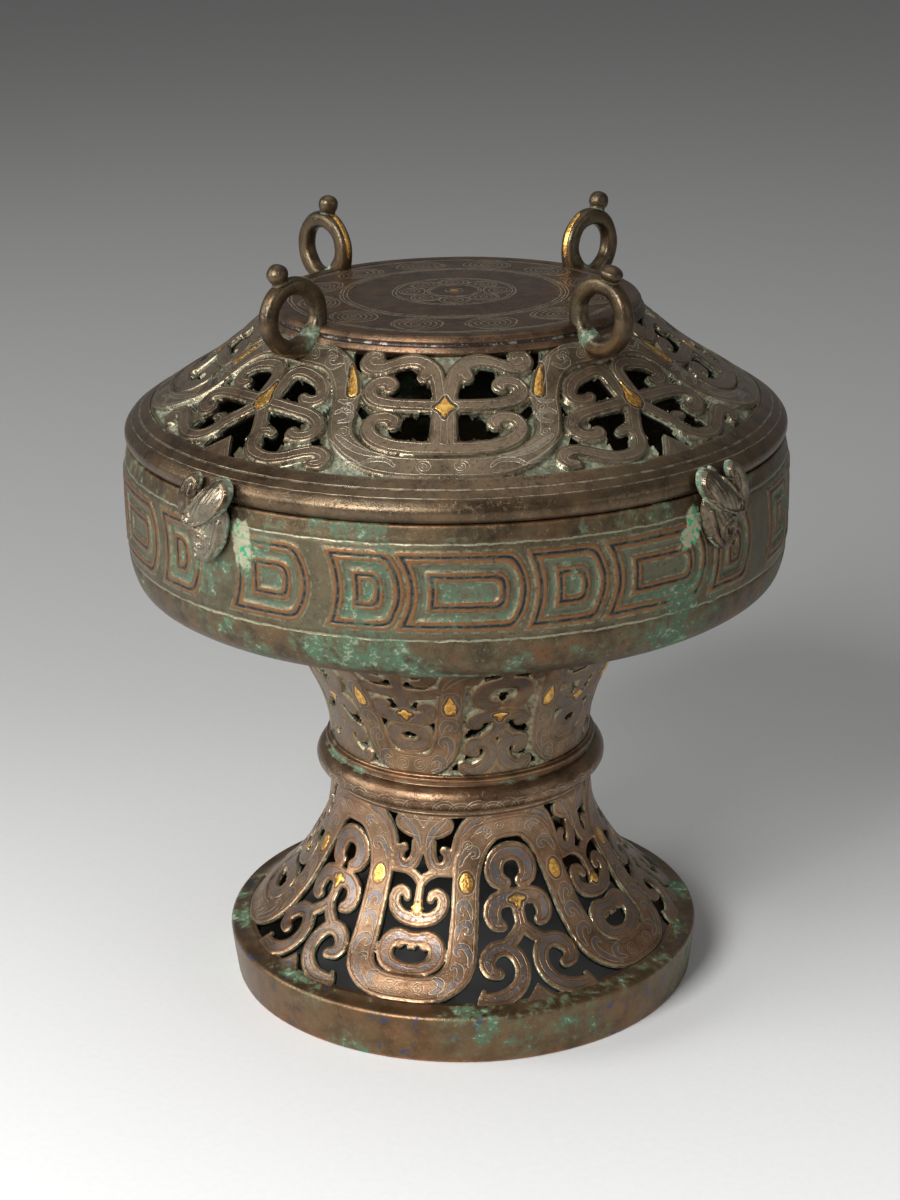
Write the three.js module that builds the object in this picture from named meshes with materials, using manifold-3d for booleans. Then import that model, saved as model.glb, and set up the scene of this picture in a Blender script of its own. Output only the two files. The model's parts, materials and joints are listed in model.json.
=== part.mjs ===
// Bronze ritual vessel: a shallow lidded dish on an openwork stand.
// Millimetres, +Z up, the foot rests on z = 0 and the axis is the Z axis.
// Angles "phi" are in degrees round the axis from the front (-Y) towards +X.
import * as THREE from 'three';
import { mergeVertices } from 'three/addons/utils/BufferGeometryUtils.js';
import Module from 'manifold-3d';

const wasm = await Module();
wasm.setup();

// Driving dimensions.
const FOOT_RADIUS = 99.4;
const FOOT_BOTTOM_RADIUS = 97.2;
const FOOT_RING_HEIGHT = 20.5;
const BASIN_RADIUS = 133;
const RIM_SEAM_Z = 233.4;
const GAP = 0.3;
const DISC_RADIUS = 71.5;
const DISC_TOP_Z = 287;
const HANDLE_RING_RADIUS = 12.3;
const HANDLE_TUBE_RADIUS = 3.1;
// Each handle: angle round the lid, radius and height of the ring's centre, outward lean of its ball.
const HANDLES = [
  { phi: -46.7, radius: 82, z: 291.2, lean: 22 },
  { phi: 41.2, radius: 82, z: 291.2, lean: 17 },
  { phi: -138, radius: 79.5, z: 294, lean: -9 },
  { phi: 135, radius: 79.5, z: 294, lean: 17 },
];
const CLASP_ANGLES = [-43.8, 46.4, 136.4, -133.8];
const LID_PATTERN_ANGLE = -2.4;
const STAND_PERIODS = 5;
const FOOT_PATTERN_ANGLE = -16.3;
const STEM_PATTERN_ANGLE = -20.9;
const SEGMENTS = 32;
const STAND_SEGMENTS = 25;
const INLAY_POCKET_DEPTH = 1.3;
const INLAY_DEPTH = 0.9;
const INLAY_GAP = 0.3;

// Materials, one per colour family on the vessel.
const bronze = new THREE.MeshStandardMaterial({ name: 'bronze', color: 0x6f5b49, roughness: 0.45, metalness: 0.85 });
const gold = new THREE.MeshStandardMaterial({ name: 'gold', color: 0xd8a548, roughness: 0.35, metalness: 1 });

const radians = THREE.MathUtils.degToRad;

/** Drops normals and uvs and joins equal vertices, so the boolean library sees a closed mesh. */
function weld(geometry) {
  const plain = geometry.index ? geometry.toNonIndexed() : geometry.clone();
  plain.deleteAttribute('normal');
  plain.deleteAttribute('uv');
  return mergeVertices(plain, 1e-4);
}

/** Gives a closed geometry to the boolean library. */
function solid(geometry) {
  const g = weld(geometry);
  return new wasm.Manifold(new wasm.Mesh({
    numProp: 3,
    vertProperties: new Float32Array(g.attributes.position.array),
    triVerts: new Uint32Array(g.index.array),
  }));
}

/** Turns a boolean result back into a three.js geometry. */
function geometryOf(manifold) {
  const mesh = manifold.getMesh();
  const g = new THREE.BufferGeometry();
  g.setAttribute('position', new THREE.BufferAttribute(new Float32Array(mesh.vertProperties), 3));
  g.setIndex(new THREE.BufferAttribute(new Uint32Array(mesh.triVerts), 1));
  g.computeVertexNormals();
  return g;
}

/** Revolves a closed outline of [radius, z] pairs about the Z axis. */
function revolve(outline, segments = SEGMENTS) {
  const points = [...outline, outline[0]].map(([r, z]) => new THREE.Vector2(r, z));
  let area = 0;
  for (let i = 0; i + 1 < points.length; i += 1) {
    area += points[i].x * points[i + 1].y - points[i + 1].x * points[i].y;
  }
  if (area < 0) points.reverse();
  const g = new THREE.LatheGeometry(points, segments);
  g.rotateX(Math.PI / 2);
  return g;
}

/** The shape of a wall: outer points going up, from which normals and arc length follow. */
class Wall {
  constructor(points, thickness, flatEnds = false) {
    this.flatEnds = flatEnds;
    this.points = points.map(([r, z]) => new THREE.Vector2(r, z));
    this.thickness = thickness;
    this.lengths = [0];
    for (let i = 1; i < this.points.length; i += 1) {
      this.lengths.push(this.lengths[i - 1] + this.points[i].distanceTo(this.points[i - 1]));
    }
    this.normals = this.points.map((point, i) => {
      const before = this.points[Math.max(i - 1, 0)];
      const after = this.points[Math.min(i + 1, this.points.length - 1)];
      const along = after.clone().sub(before).normalize();
      return new THREE.Vector2(along.y, -along.x);
    });
  }

  /** Point of the wall at arc length s and depth below the outer face, turned to phi. */
  at(s, phi, depth = 0) {
    let i = 1;
    while (i < this.lengths.length - 1 && this.lengths[i] < s) i += 1;
    const t = (s - this.lengths[i - 1]) / (this.lengths[i] - this.lengths[i - 1]);
    const p = this.points[i - 1].clone().lerp(this.points[i], t);
    const n = this.normals[i - 1].clone().lerp(this.normals[i], THREE.MathUtils.clamp(t, 0, 1)).normalize();
    const r = p.x - n.x * depth;
    const z = p.y - n.y * depth;
    const a = radians(phi);
    return new THREE.Vector3(r * Math.sin(a), -r * Math.cos(a), z);
  }

  /** Closed outline of the wall between its first and last point; flat ends are cut level. */
  outline() {
    const inner = this.points.map((p, i) => p.clone().addScaledVector(this.normals[i], -this.thickness));
    if (this.flatEnds) {
      const last = inner.length - 1;
      for (const [end, next] of [[0, 1], [last, last - 1]]) {
        const t = (this.points[end].y - inner[end].y) / (inner[next].y - inner[end].y);
        inner[end].lerp(inner[next].clone(), t);
      }
    }
    return [...this.points, ...inner.reverse()].map((p) => [p.x, p.y]);
  }

  /** Outward direction of the outer face at arc length s, turned to phi. */
  normal(s, phi) {
    const step = 0.5;
    const p = this.at(s - step, phi);
    const along = this.at(s + step, phi).sub(p);
    const a = radians(phi);
    const around = new THREE.Vector3(Math.cos(a), Math.sin(a), 0);
    return around.cross(along).normalize();
  }

  /** A straight prism square to the wall: an outline in degrees and arc length, from one depth to another. */
  prism(outline, centre, from, to) {
    let points = outline.map(([u, s]) => new THREE.Vector2(u, s));
    if (THREE.ShapeUtils.isClockWise(points)) points = points.reverse();
    const caps = THREE.ShapeUtils.triangulateShape(points, []);
    const n = points.length;
    const middle = points.reduce((sum, p) => sum.add(p), new THREE.Vector2()).divideScalar(n);
    const out = this.normal(middle.y, centre + middle.x);
    const positions = [];
    for (const depth of [from, to]) {
      for (const p of points) {
        positions.push(...this.at(p.y, centre + p.x).addScaledVector(out, -depth).toArray());
      }
    }
    const index = [];
    for (const [a, b, c] of caps) index.push(a, b, c, n + a, n + c, n + b);
    for (let i = 0; i < n; i += 1) {
      const j = (i + 1) % n;
      index.push(i, n + i, j, j, n + i, n + j);
    }
    const g = new THREE.BufferGeometry();
    g.setAttribute('position', new THREE.Float32BufferAttribute(positions, 3));
    g.setIndex(index);
    return g;
  }
}

/** Mirrors an outline drawn on one side of a panel's centre line to the other side. */
const mirrored = (outline) => outline.map(([u, s]) => [-u, s]);

/** Closes a half outline, drawn from the centre line and back to it, with its mirror image. */
function whole(half) {
  const other = mirrored(half).reverse().filter(([u]) => Math.abs(u) > 1e-6);
  return [...half, ...other];
}

/** Moves an outline's points outwards from their middle by a distance in millimetres. */
function grown(outline, distance, radius) {
  const perDegree = radians(radius);
  const points = outline.map(([u, s]) => new THREE.Vector2(u * perDegree, s));
  const middle = points.reduce((sum, p) => sum.add(p), new THREE.Vector2()).divideScalar(points.length);
  return points.map((p) => {
    const q = p.clone().sub(middle);
    q.setLength(q.length() + distance).add(middle);
    return [q.x / perDegree, q.y];
  });
}

/** Cuts every hole of a panel pattern through a wall, once per period. */
function pierce(wall, periods, centre, panels, segments) {
  let body = solid(revolve(wall.outline(), segments));
  for (let k = 0; k < periods; k += 1) {
    for (const panel of panels) {
      const middle = centre + (360 / periods) * (k + panel.shift);
      const outlines = [...panel.whole.map(whole)];
      for (const hole of panel.pairs) outlines.push(hole, mirrored(hole));
      for (const outline of outlines) {
        body = body.subtract(solid(wall.prism(outline, middle, -4, wall.thickness + 6)));
      }
    }
  }
  return body;
}

// Outer faces of the pierced walls, as [radius, z] going up.
const footWall = new Wall([
  [92.1, 22.8], [71, 43.6], [58.7, 64.5], [55, 79.2], [54.9, 86.8],
], 3.2, true);
const stemWall = new Wall([
  [54.2, 104.6], [56.2, 119], [61.4, 133], [71, 149.6], [84.4, 164],
], 3.2, true);
const lidWall = new Wall([
  [120.4, 247.6], [97.2, 262.6], [75.4, 280.7],
], 4);

// Holes of the lid, in degrees from the panel centre and millimetres up the slope from the rim's edge.
const LID_START = 16.9;
const fromStart = (start) => (outline) => outline.map(([u, s]) => [u, s - start]);
const lidUp = {
  shift: 0,
  whole: [],
  pairs: [
    [[4.1, 54.8], [4.6, 59.4], [7, 68.6], [14.6, 65.4], [11.6, 63], [13.2, 54.3]],
    [[3.2, 36], [3.2, 45.6], [5.7, 47.8], [8.9, 46.4], [10.8, 36.6]],
    [[19.9, 49.6], [15.9, 46.8], [17.8, 42.2]],
  ].map(fromStart(LID_START)),
};
const lidDown = {
  shift: 0.5,
  whole: [
    [[0, 37.5], [3.4, 28], [5.8, 18.5], [0, 27]],
  ].map(fromStart(LID_START)),
  pairs: [
    [[13.6, 52], [11.4, 55.2], [4.4, 57.2], [3.6, 47.6], [9.2, 47.4]],
    [[15.4, 38.2], [10, 40.2], [4.6, 39.8], [11, 30.4], [9.6, 23.4], [13.4, 25.6]],
    [[19.2, 40.7], [18.2, 45], [16.2, 43.2]],
  ].map(fromStart(LID_START)),
};

// Holes of the foot, in degrees and in millimetres up the flare from the ring's ledge.
const FOOT_START = 27.3;
const footUp = {
  shift: 0,
  whole: [
    [[0, 51.4], [4.6, 50.4], [0, 44.7]],
  ].map(fromStart(FOOT_START)),
  pairs: [
    [[11, 80], [5, 79], [2.2, 69], [5.4, 74.6], [11, 75.4]],
    [[11, 64], [5.8, 60.6], [11, 55.6]],
    [[18.2, 103.4], [13, 102.6], [11.4, 97.4], [14.4, 99]],
  ].map(fromStart(FOOT_START)),
};
const footDown = {
  shift: 0.5,
  whole: [
    [[0, 84.8], [3.3, 80.3], [0, 75.4]],
    [[0, 40], [6.4, 29], [0, 35.6]],
  ].map(fromStart(FOOT_START)),
  pairs: [
    [[11.6, 79.8], [6.8, 73.8], [12, 70.8]],
    [[4.7, 65.4], [3, 61], [5, 56.2], [13.2, 52.4], [12.7, 59.4], [8, 57]],
    [[9.4, 45.4], [6.6, 44], [7, 38], [11.5, 35.4], [14.6, 38.8]],
    [[15.8, 38], [20.6, 29], [15.4, 33]],
  ].map(fromStart(FOOT_START)),
};

// Holes of the upper stem, in degrees and millimetres up from the collar.
const STEM_START = 1;
const stemUp = {
  shift: 0,
  whole: [
    [[0, 24.4], [3.2, 19.6], [0, 17.2]],
  ].map(fromStart(STEM_START)),
  pairs: [
    [[3, 35], [6, 37.2], [5.4, 31]],
    [[9.3, 25], [11.6, 26.4], [10.8, 21.6]],
    [[5.6, 52], [8.8, 56.4], [11.6, 53.2], [8, 49.6]],
  ].map(fromStart(STEM_START)),
};
const stemDown = {
  shift: 0.5,
  whole: [
    [[0, 42.4], [2.6, 40], [0, 35.6]],
  ].map(fromStart(STEM_START)),
  pairs: [
    [[5.2, 28.4], [4.2, 23], [12.2, 18.8], [11.5, 23.3]],
    [[8.8, 12.6], [6, 12.3], [6.4, 9], [13.4, 7.8]],
    [[14.4, 5], [16.4, 6.8], [19.3, 3.2]],
  ].map(fromStart(STEM_START)),
};

// Gold inlays of the lid: a star where the scrolls of each panel cross, a kite on each bay, a strip on each limb.
const inlays = [
  {
    name: 'gold_star',
    places: [0],
    outline: [
      [0, 45.8], [0.7, 49.2], [2.3, 50.4], [0.7, 51.8], [0, 54.8], [-0.7, 51.8], [-2.3, 50.4], [-0.7, 49.2],
    ],
  },
  { name: 'gold_kite', places: [45], outline: [[0, 40.6], [2, 44.4], [0, 54], [-2, 44.4]] },
  { name: 'gold_strip', places: [0], outline: [[21.2, 53.8], [23.6, 53.6], [24.8, 60.4], [26, 66.8], [22.8, 60.6]] },
  { name: 'gold_strip', places: [0], outline: [[-21.2, 53.8], [-23.6, 53.6], [-24.8, 60.4], [-26, 66.8], [-22.8, 60.6]] },
];

const group = new THREE.Group();
group.name = 'ritual_vessel';

/** Adds one named closed piece to the assembly. */
function add(name, geometry, material) {
  const mesh = new THREE.Mesh(geometry, material);
  mesh.name = name;
  group.add(mesh);
}

// Foot ring: a plain band with a flat ledge, open underneath.
add('foot_ring', revolve([
  [FOOT_BOTTOM_RADIUS, 0], [FOOT_RADIUS, FOOT_RING_HEIGHT - 1], [FOOT_RADIUS - 1, FOOT_RING_HEIGHT],
  [92.3, 22.4], [89.6, 22.4], [89.6, 18], [91.2, 12], [91.2, 0],
]), bronze);

const footHoles = [footUp, footDown];
add('foot_openwork', geometryOf(
  pierce(footWall, STAND_PERIODS, FOOT_PATTERN_ANGLE, footHoles, STAND_SEGMENTS),
), bronze);

// Collar between the two flares: a bead with a hollow channel above and a flange below.
add('stem_collar', revolve([
  [52, 87.2], [55.6, 87.2], [55.8, 89.8], [59.4, 91.2], [60.2, 94.6], [58.6, 98.4], [55.2, 99.9],
  [55.1, 101.8], [56, 102.9], [54.8, 104.2], [51.6, 104.2],
], STAND_SEGMENTS), bronze);

const stemHoles = [stemUp, stemDown];
add('stem_openwork', geometryOf(
  pierce(stemWall, STAND_PERIODS, STEM_PATTERN_ANGLE, stemHoles, STAND_SEGMENTS),
), bronze);

// Basin: a shallow tray with an upright wall and a step under the lid.
add('basin', revolve([
  [0, 166], [80, 166], [84.8, 164.4], [104, 168.4], [124, 173.4], [130.6, 179.6], [132.6, 190],
  [BASIN_RADIUS, 205], [132.8, 222], [130.8, RIM_SEAM_Z - GAP], [126.6, RIM_SEAM_Z - GAP],
  [128.2, 222], [128.4, 190], [126.4, 181], [121.6, 176.4], [100, 172], [0, 170.6],
]), bronze);

// Lid rim: rounded edge, solid border below the openwork, and an inner lip that seats in the basin.
add('lid_rim', revolve([
  [130.6, RIM_SEAM_Z], [131.8, 235.8], [131.4, 239], [129, 242], [125.6, 244.4], [120.9, 247.2],
  [118.6, 243.8], [124.2, 238.4], [122.6, 234.6], [122.6, 228.6], [125.6, 228.6], [126.3, RIM_SEAM_Z],
]), bronze);

// Openwork of the lid, with a shallow pocket for each gold inlay; the inlay fills it flush with the bronze.
let lidOpenwork = pierce(lidWall, 4, LID_PATTERN_ANGLE, [lidUp, lidDown], SEGMENTS);
const inlayCount = {};
for (const { name, places, outline } of inlays) {
  for (const place of places) {
    for (let k = 0; k < 4; k += 1) {
      const centre = LID_PATTERN_ANGLE + place + 90 * k;
      const drawn = fromStart(LID_START)(outline);
      const pocket = grown(drawn, INLAY_GAP, 95);
      lidOpenwork = lidOpenwork.subtract(solid(lidWall.prism(pocket, centre, -3, INLAY_POCKET_DEPTH)));
      inlayCount[name] = (inlayCount[name] ?? 0) + 1;
      add(`${name}_${inlayCount[name]}`, lidWall.prism(drawn, centre, 0, INLAY_DEPTH), gold);
    }
  }
}
add('lid_openwork', geometryOf(lidOpenwork), bronze);

// Top disc: slightly domed plate with a stepped edge.
add('lid_disc', revolve([
  [0, 283.4], [68, 282], [72.4, 277.6], [75, 281.3], [74.6, 284], [72.4, 284.6], [DISC_RADIUS, DISC_TOP_Z - 0.4],
  [0, 288.4],
]), bronze);

/** One ring handle: an upright ring in the radial plane with a ball on top, rooted in the lid. */
function ringHandle(lean) {
  const ring = new THREE.TorusGeometry(HANDLE_RING_RADIUS, HANDLE_TUBE_RADIUS, 6, 16);
  ring.rotateX(Math.PI / 2);
  const ball = new THREE.SphereGeometry(4.2, 7, 5);
  const reach = HANDLE_RING_RADIUS + HANDLE_TUBE_RADIUS + 3.4;
  ball.translate(reach * Math.sin(radians(lean)), 0, reach * Math.cos(radians(lean)));
  return solid(ring).add(solid(ball));
}

// The lid filled solid and grown by the gap: what a handle's ring is cut back by.
const filledLid = solid(revolve([
  [0, 200], [121, 247.8], [97.4, 263], [75.8, 281.1], [75, 284.4], [72.7, 285], [71.8, 287], [0, 288.8],
]));

HANDLES.forEach(({ phi, radius, z, lean }, i) => {
  const a = radians(phi - 90);
  const placed = ringHandle(lean).rotate([0, 0, phi - 90]).translate([radius * Math.cos(a), radius * Math.sin(a), z]);
  add(`ring_handle_${i + 1}`, geometryOf(placed.subtract(filledLid)), bronze);
});

/** One mask clasp, built facing -Y at the rim: a tapering face below two curled ears. */
function maskClasp() {
  // Rows from the top of the brow to the snout: [z, half width, how far it stands out, back radius].
  const rows = [
    [243, 6, 2.4, 130.2], [237, 9.4, 5.4, 133], [229, 9.2, 5.8, 133.6],
    [214.6, 5.8, 5.4, 133.6], [210.4, 3.6, 3.2, 133.6],
  ];
  const across = 5;
  const positions = [];
  for (const [z, half, out, back] of rows) {
    for (let k = 0; k < across; k += 1) {
      const t = (k / (across - 1)) * Math.PI;
      positions.push(-half * Math.cos(t), -(back + out * Math.sin(t) ** 0.7 + 0.2), z);
    }
    positions.push(half * 0.6, -(back - 0.02), z, -half * 0.6, -(back - 0.02), z);
  }
  const n = across + 2;
  const index = [];
  for (let r = 0; r + 1 < rows.length; r += 1) {
    for (let k = 0; k < n; k += 1) {
      const a = r * n + k;
      const b = r * n + ((k + 1) % n);
      index.push(a, a + n, b, b, a + n, b + n);
    }
  }
  for (let k = 1; k + 1 < n; k += 1) {
    index.push(0, k, k + 1);
    const last = (rows.length - 1) * n;
    index.push(last, last + k + 1, last + k);
  }
  const g = new THREE.BufferGeometry();
  g.setAttribute('position', new THREE.Float32BufferAttribute(positions, 3));
  g.setIndex(index);
  let body = solid(g);
  for (const side of [-1, 1]) {
    const ear = new THREE.SphereGeometry(1, 6, 5);
    ear.scale(4.1, 4.2, 6.4);
    ear.rotateY(radians(side * 24));
    ear.translate(side * 6.2, -134.6, 240.6);
    body = body.add(solid(ear));
    const eye = new THREE.SphereGeometry(3, 5, 4);
    eye.translate(side * 4.6, -137, 226);
    body = body.add(solid(eye));
  }
  return body;
}

// Rim and basin wall grown by the gap: what a clasp is cut back by.
const filledRim = solid(revolve([
  [0, 190], [132.9, 190], [133.3, 205], [133.1, 222], [131.1, 233.1], [131.2, 234.2], [132.1, 235.8],
  [131.7, 239.3], [129.2, 242.4], [125.8, 244.8], [0, 262],
]));

CLASP_ANGLES.forEach((phi, i) => {
  add(`mask_clasp_${i + 1}`, geometryOf(maskClasp().rotate([0, 0, phi]).subtract(filledRim)), bronze);
});

export default group;
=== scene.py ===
"""Fine surface, inlays and finishes of the lidded bronze ritual vessel, in metres, +Z up."""

import json
import logging
import math
from collections.abc import Callable, Sequence
from dataclasses import dataclass, field
from enum import Enum

import bpy
import numpy as np
from mathutils import Matrix

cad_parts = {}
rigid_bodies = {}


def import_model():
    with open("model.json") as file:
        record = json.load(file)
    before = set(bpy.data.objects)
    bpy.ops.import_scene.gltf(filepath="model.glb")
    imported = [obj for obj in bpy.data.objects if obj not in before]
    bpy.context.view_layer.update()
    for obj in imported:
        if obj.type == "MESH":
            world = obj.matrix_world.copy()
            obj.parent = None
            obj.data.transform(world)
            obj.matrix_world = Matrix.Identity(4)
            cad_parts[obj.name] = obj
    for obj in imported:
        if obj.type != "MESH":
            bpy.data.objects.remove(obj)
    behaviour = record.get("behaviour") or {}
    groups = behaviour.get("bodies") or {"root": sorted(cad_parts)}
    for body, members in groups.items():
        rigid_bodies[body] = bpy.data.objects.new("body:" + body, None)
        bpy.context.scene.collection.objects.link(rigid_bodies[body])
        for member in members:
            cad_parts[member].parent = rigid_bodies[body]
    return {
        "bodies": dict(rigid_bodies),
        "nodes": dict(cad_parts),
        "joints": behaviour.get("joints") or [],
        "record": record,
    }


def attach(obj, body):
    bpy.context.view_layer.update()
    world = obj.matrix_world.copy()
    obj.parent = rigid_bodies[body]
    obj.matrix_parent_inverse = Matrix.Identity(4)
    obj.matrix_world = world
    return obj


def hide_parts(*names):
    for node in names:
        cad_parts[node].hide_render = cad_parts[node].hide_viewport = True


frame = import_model()

LOG = logging.getLogger("vessel")
MM = 0.001
CELL = 0.55
"""Side of a surface cell on the pierced walls, in millimetres."""
MIDDLE = 0.38
"""Depth of the middle row of a shell's side walls, as a share of its thickness."""
COARSER = 6
"""How many times longer the steps of a section are where nothing fine is drawn on it."""
TURN = 2 * math.pi
"""A full turn in radians."""

Socket = bpy.types.NodeSocket
Colour = tuple[float, float, float, float]
Points = tuple[tuple[float, ...], ...]


class Body(Enum):
    """The two bodies of the vessel: what stands, and what lifts off."""

    BASE = "base"
    LID = "lid"


class Metal(Enum):
    """The vessel's two metals, bronze and gold."""

    BRONZE = "bronze"
    GOLD = "gold"


# Shapes


def spline(points: np.ndarray, steps: int) -> np.ndarray:
    """Runs a smooth curve through points, by the Catmull-Rom rule.

    Args:
        points: Control points, one row each.
        steps: Samples between two control points.

    Returns:
        The sampled curve, with the last control point at its end.
    """
    p = np.vstack([2 * points[0] - points[1], points, 2 * points[-1] - points[-2]])
    t = (np.arange(steps) / steps)[None, :, None]
    a, b, c, d = p[:-3, None], p[1:-2, None], p[2:-1, None], p[3:, None]
    curve = 0.5 * (2 * b + (c - a) * t + (2 * a - 5 * b + 4 * c - d) * t**2 + (3 * b - a - 3 * c + d) * t**3)
    return np.vstack([curve.reshape(-1, points.shape[1]), points[-1:]])


def ramp(value: np.ndarray, low: float, high: float) -> np.ndarray:
    """Rises smoothly from 0 at low to 1 at high, as 3t squared less 2t cubed.

    Args:
        value: Any array.
        low: Where the rise starts.
        high: Where it ends.

    Returns:
        The array of the rise.
    """
    t = np.clip((value - low) / (high - low), 0, 1)
    return t * t * (3 - 2 * t)


def by_hand(phi: np.ndarray, z: np.ndarray) -> np.ndarray:
    """Unevenness of the casting in millimetres: three slow waves round the axis that drift with height."""
    a = np.radians(phi)
    return 0.2 * np.sin(2 * a + 0.7 + z / 70) + 0.1 * np.sin(5 * a + z / 23) + 0.05 * np.sin(11 * a - z / 15)


def round_axis(phi: np.ndarray, r: np.ndarray, z: np.ndarray) -> np.ndarray:
    """Places points by angle from the front towards +X, radius and height.

    Args:
        phi: Angles in degrees.
        r: Radii in millimetres.
        z: Heights in millimetres.

    Returns:
        Points in metres, with the casting's unevenness added to the radius.
    """
    a = np.radians(phi)
    wide = r + by_hand(phi, z) * np.clip(r / 40, 0, 1)
    return np.stack([wide * np.sin(a), -wide * np.cos(a), z + 0 * a], axis=-1) * MM


@dataclass(frozen=True)
class Profile:
    """A wall's outer face: a smooth curve through (radius, height) points, read by chord length."""

    points: tuple[tuple[float, float], ...]

    def lengths(self) -> np.ndarray:
        """Chord length from the first point to each."""
        steps = np.diff(np.array(self.points), axis=0)
        return np.concatenate([[0.0], np.cumsum(np.hypot(steps[:, 0], steps[:, 1]))])

    def at(self, s: np.ndarray) -> tuple[np.ndarray, np.ndarray, np.ndarray, np.ndarray]:
        """Reads the curve by cubic pieces whose slope at each point is that of the chord past it.

        Args:
            s: Lengths from the first point, in millimetres.

        Returns:
            Radius, height, and the two parts of the outward direction.
        """
        p, knots = np.array(self.points), self.lengths()
        slopes = np.gradient(p, knots, axis=0)
        i = np.clip(np.searchsorted(knots, s) - 1, 0, len(knots) - 2)
        width = knots[i + 1] - knots[i]
        t = ((s - knots[i]) / width)[..., None]
        h = width[..., None]
        a, b, m, n = p[i], p[i + 1], slopes[i] * h, slopes[i + 1] * h
        inside = np.clip(t, 0, 1)
        q = a + m * inside + (3 * (b - a) - 2 * m - n) * inside**2 + (2 * (a - b) + m + n) * inside**3
        along = m + 2 * (3 * (b - a) - 2 * m - n) * inside + 3 * (2 * (a - b) + m + n) * inside**2
        q = q + (t - inside) * along
        along /= np.linalg.norm(along, axis=-1, keepdims=True)
        return q[..., 0], q[..., 1], along[..., 1], -along[..., 0]

    def place(self, phi: np.ndarray, s: np.ndarray, depth: np.ndarray) -> np.ndarray:
        """Puts points at an angle, a length up the wall and a depth below its face.

        Args:
            phi: Angles in degrees.
            s: Lengths up the wall in millimetres.
            depth: Depths in millimetres.

        Returns:
            Points in metres.
        """
        r, z, out_r, out_z = self.at(s)
        return round_axis(phi, r - out_r * depth, z - out_z * depth)


@dataclass(frozen=True)
class Corner:
    """One corner of a turned section: radius, height, and how far it is rounded off."""

    r: float
    z: float
    soft: float = 0.4


@dataclass
class Section:
    """A closed section that is turned round the axis, with its worn and its sheltered places.

    Sides that reach nearer the axis than fine_from are split into coarser steps.
    """

    corners: tuple[Corner, ...]
    step: float = 1.5
    fine_from: float = 0.0
    points: np.ndarray = field(init=False)
    wear: np.ndarray = field(init=False)
    shelter: np.ndarray = field(init=False)

    def __post_init__(self) -> None:
        """Rounds each corner with a quadratic arc and splits the sides into steps."""
        c = np.array([(k.r, k.z) for k in self.corners])
        soft = np.array([k.soft for k in self.corners])
        area = np.sum(c[:, 0] * np.roll(c[:, 1], -1) - np.roll(c[:, 0], -1) * c[:, 1])
        if area < 0:
            c, soft = c[::-1], soft[::-1]
        before, after = np.roll(c, 1, axis=0) - c, np.roll(c, -1, axis=0) - c
        lb, la = np.linalg.norm(before, axis=1), np.linalg.norm(after, axis=1)
        cut = np.minimum(soft, 0.45 * np.minimum(lb, la))[:, None]
        start, end = c + before / lb[:, None] * cut, c + after / la[:, None] * cut
        turn = before[:, 1] * after[:, 0] - before[:, 0] * after[:, 1]
        rows, bend = [], []
        t = np.linspace(0, 1, 6)[:, None]
        for i in range(len(c)):
            if c[i, 0] < 1e-6:
                rows.append(c[i : i + 1])
            else:
                rows.append(start[i] * (1 - t) ** 2 + 2 * c[i] * t * (1 - t) + end[i] * t**2)
            sharp = turn[i] / (lb[i] * la[i])
            bend.append(np.full(len(rows[-1]), sharp if cut[i] < 4 and abs(sharp) > 0.25 else 0.0))
            j = (i + 1) % len(c)
            first, last = rows[-1][-1], start[j] if c[j, 0] > 1e-6 else c[j]
            step = self.step * (COARSER if min(first[0], last[0]) < self.fine_from else 1)
            count = int(np.linalg.norm(last - first) / step)
            if count > 1 and not (c[i, 0] < 1e-6 and c[j, 0] < 1e-6):
                between = np.linspace(0, 1, count + 1)[1:-1, None]
                rows.append(first + (last - first) * between)
                bend.append(np.zeros(count - 1))
        self.points = np.vstack(rows)
        turning = np.concatenate(bend)
        gaps = np.linalg.norm(self.points[:, None] - self.points[None], axis=-1)
        near = np.exp(-((gaps / 1.3) ** 2))
        self.wear = np.clip(np.max(near * np.clip(turning, 0, 1)[None], axis=1), 0, 1)
        self.shelter = np.clip(np.max(near * np.clip(-turning, 0, 1)[None], axis=1), 0, 1)


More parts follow.
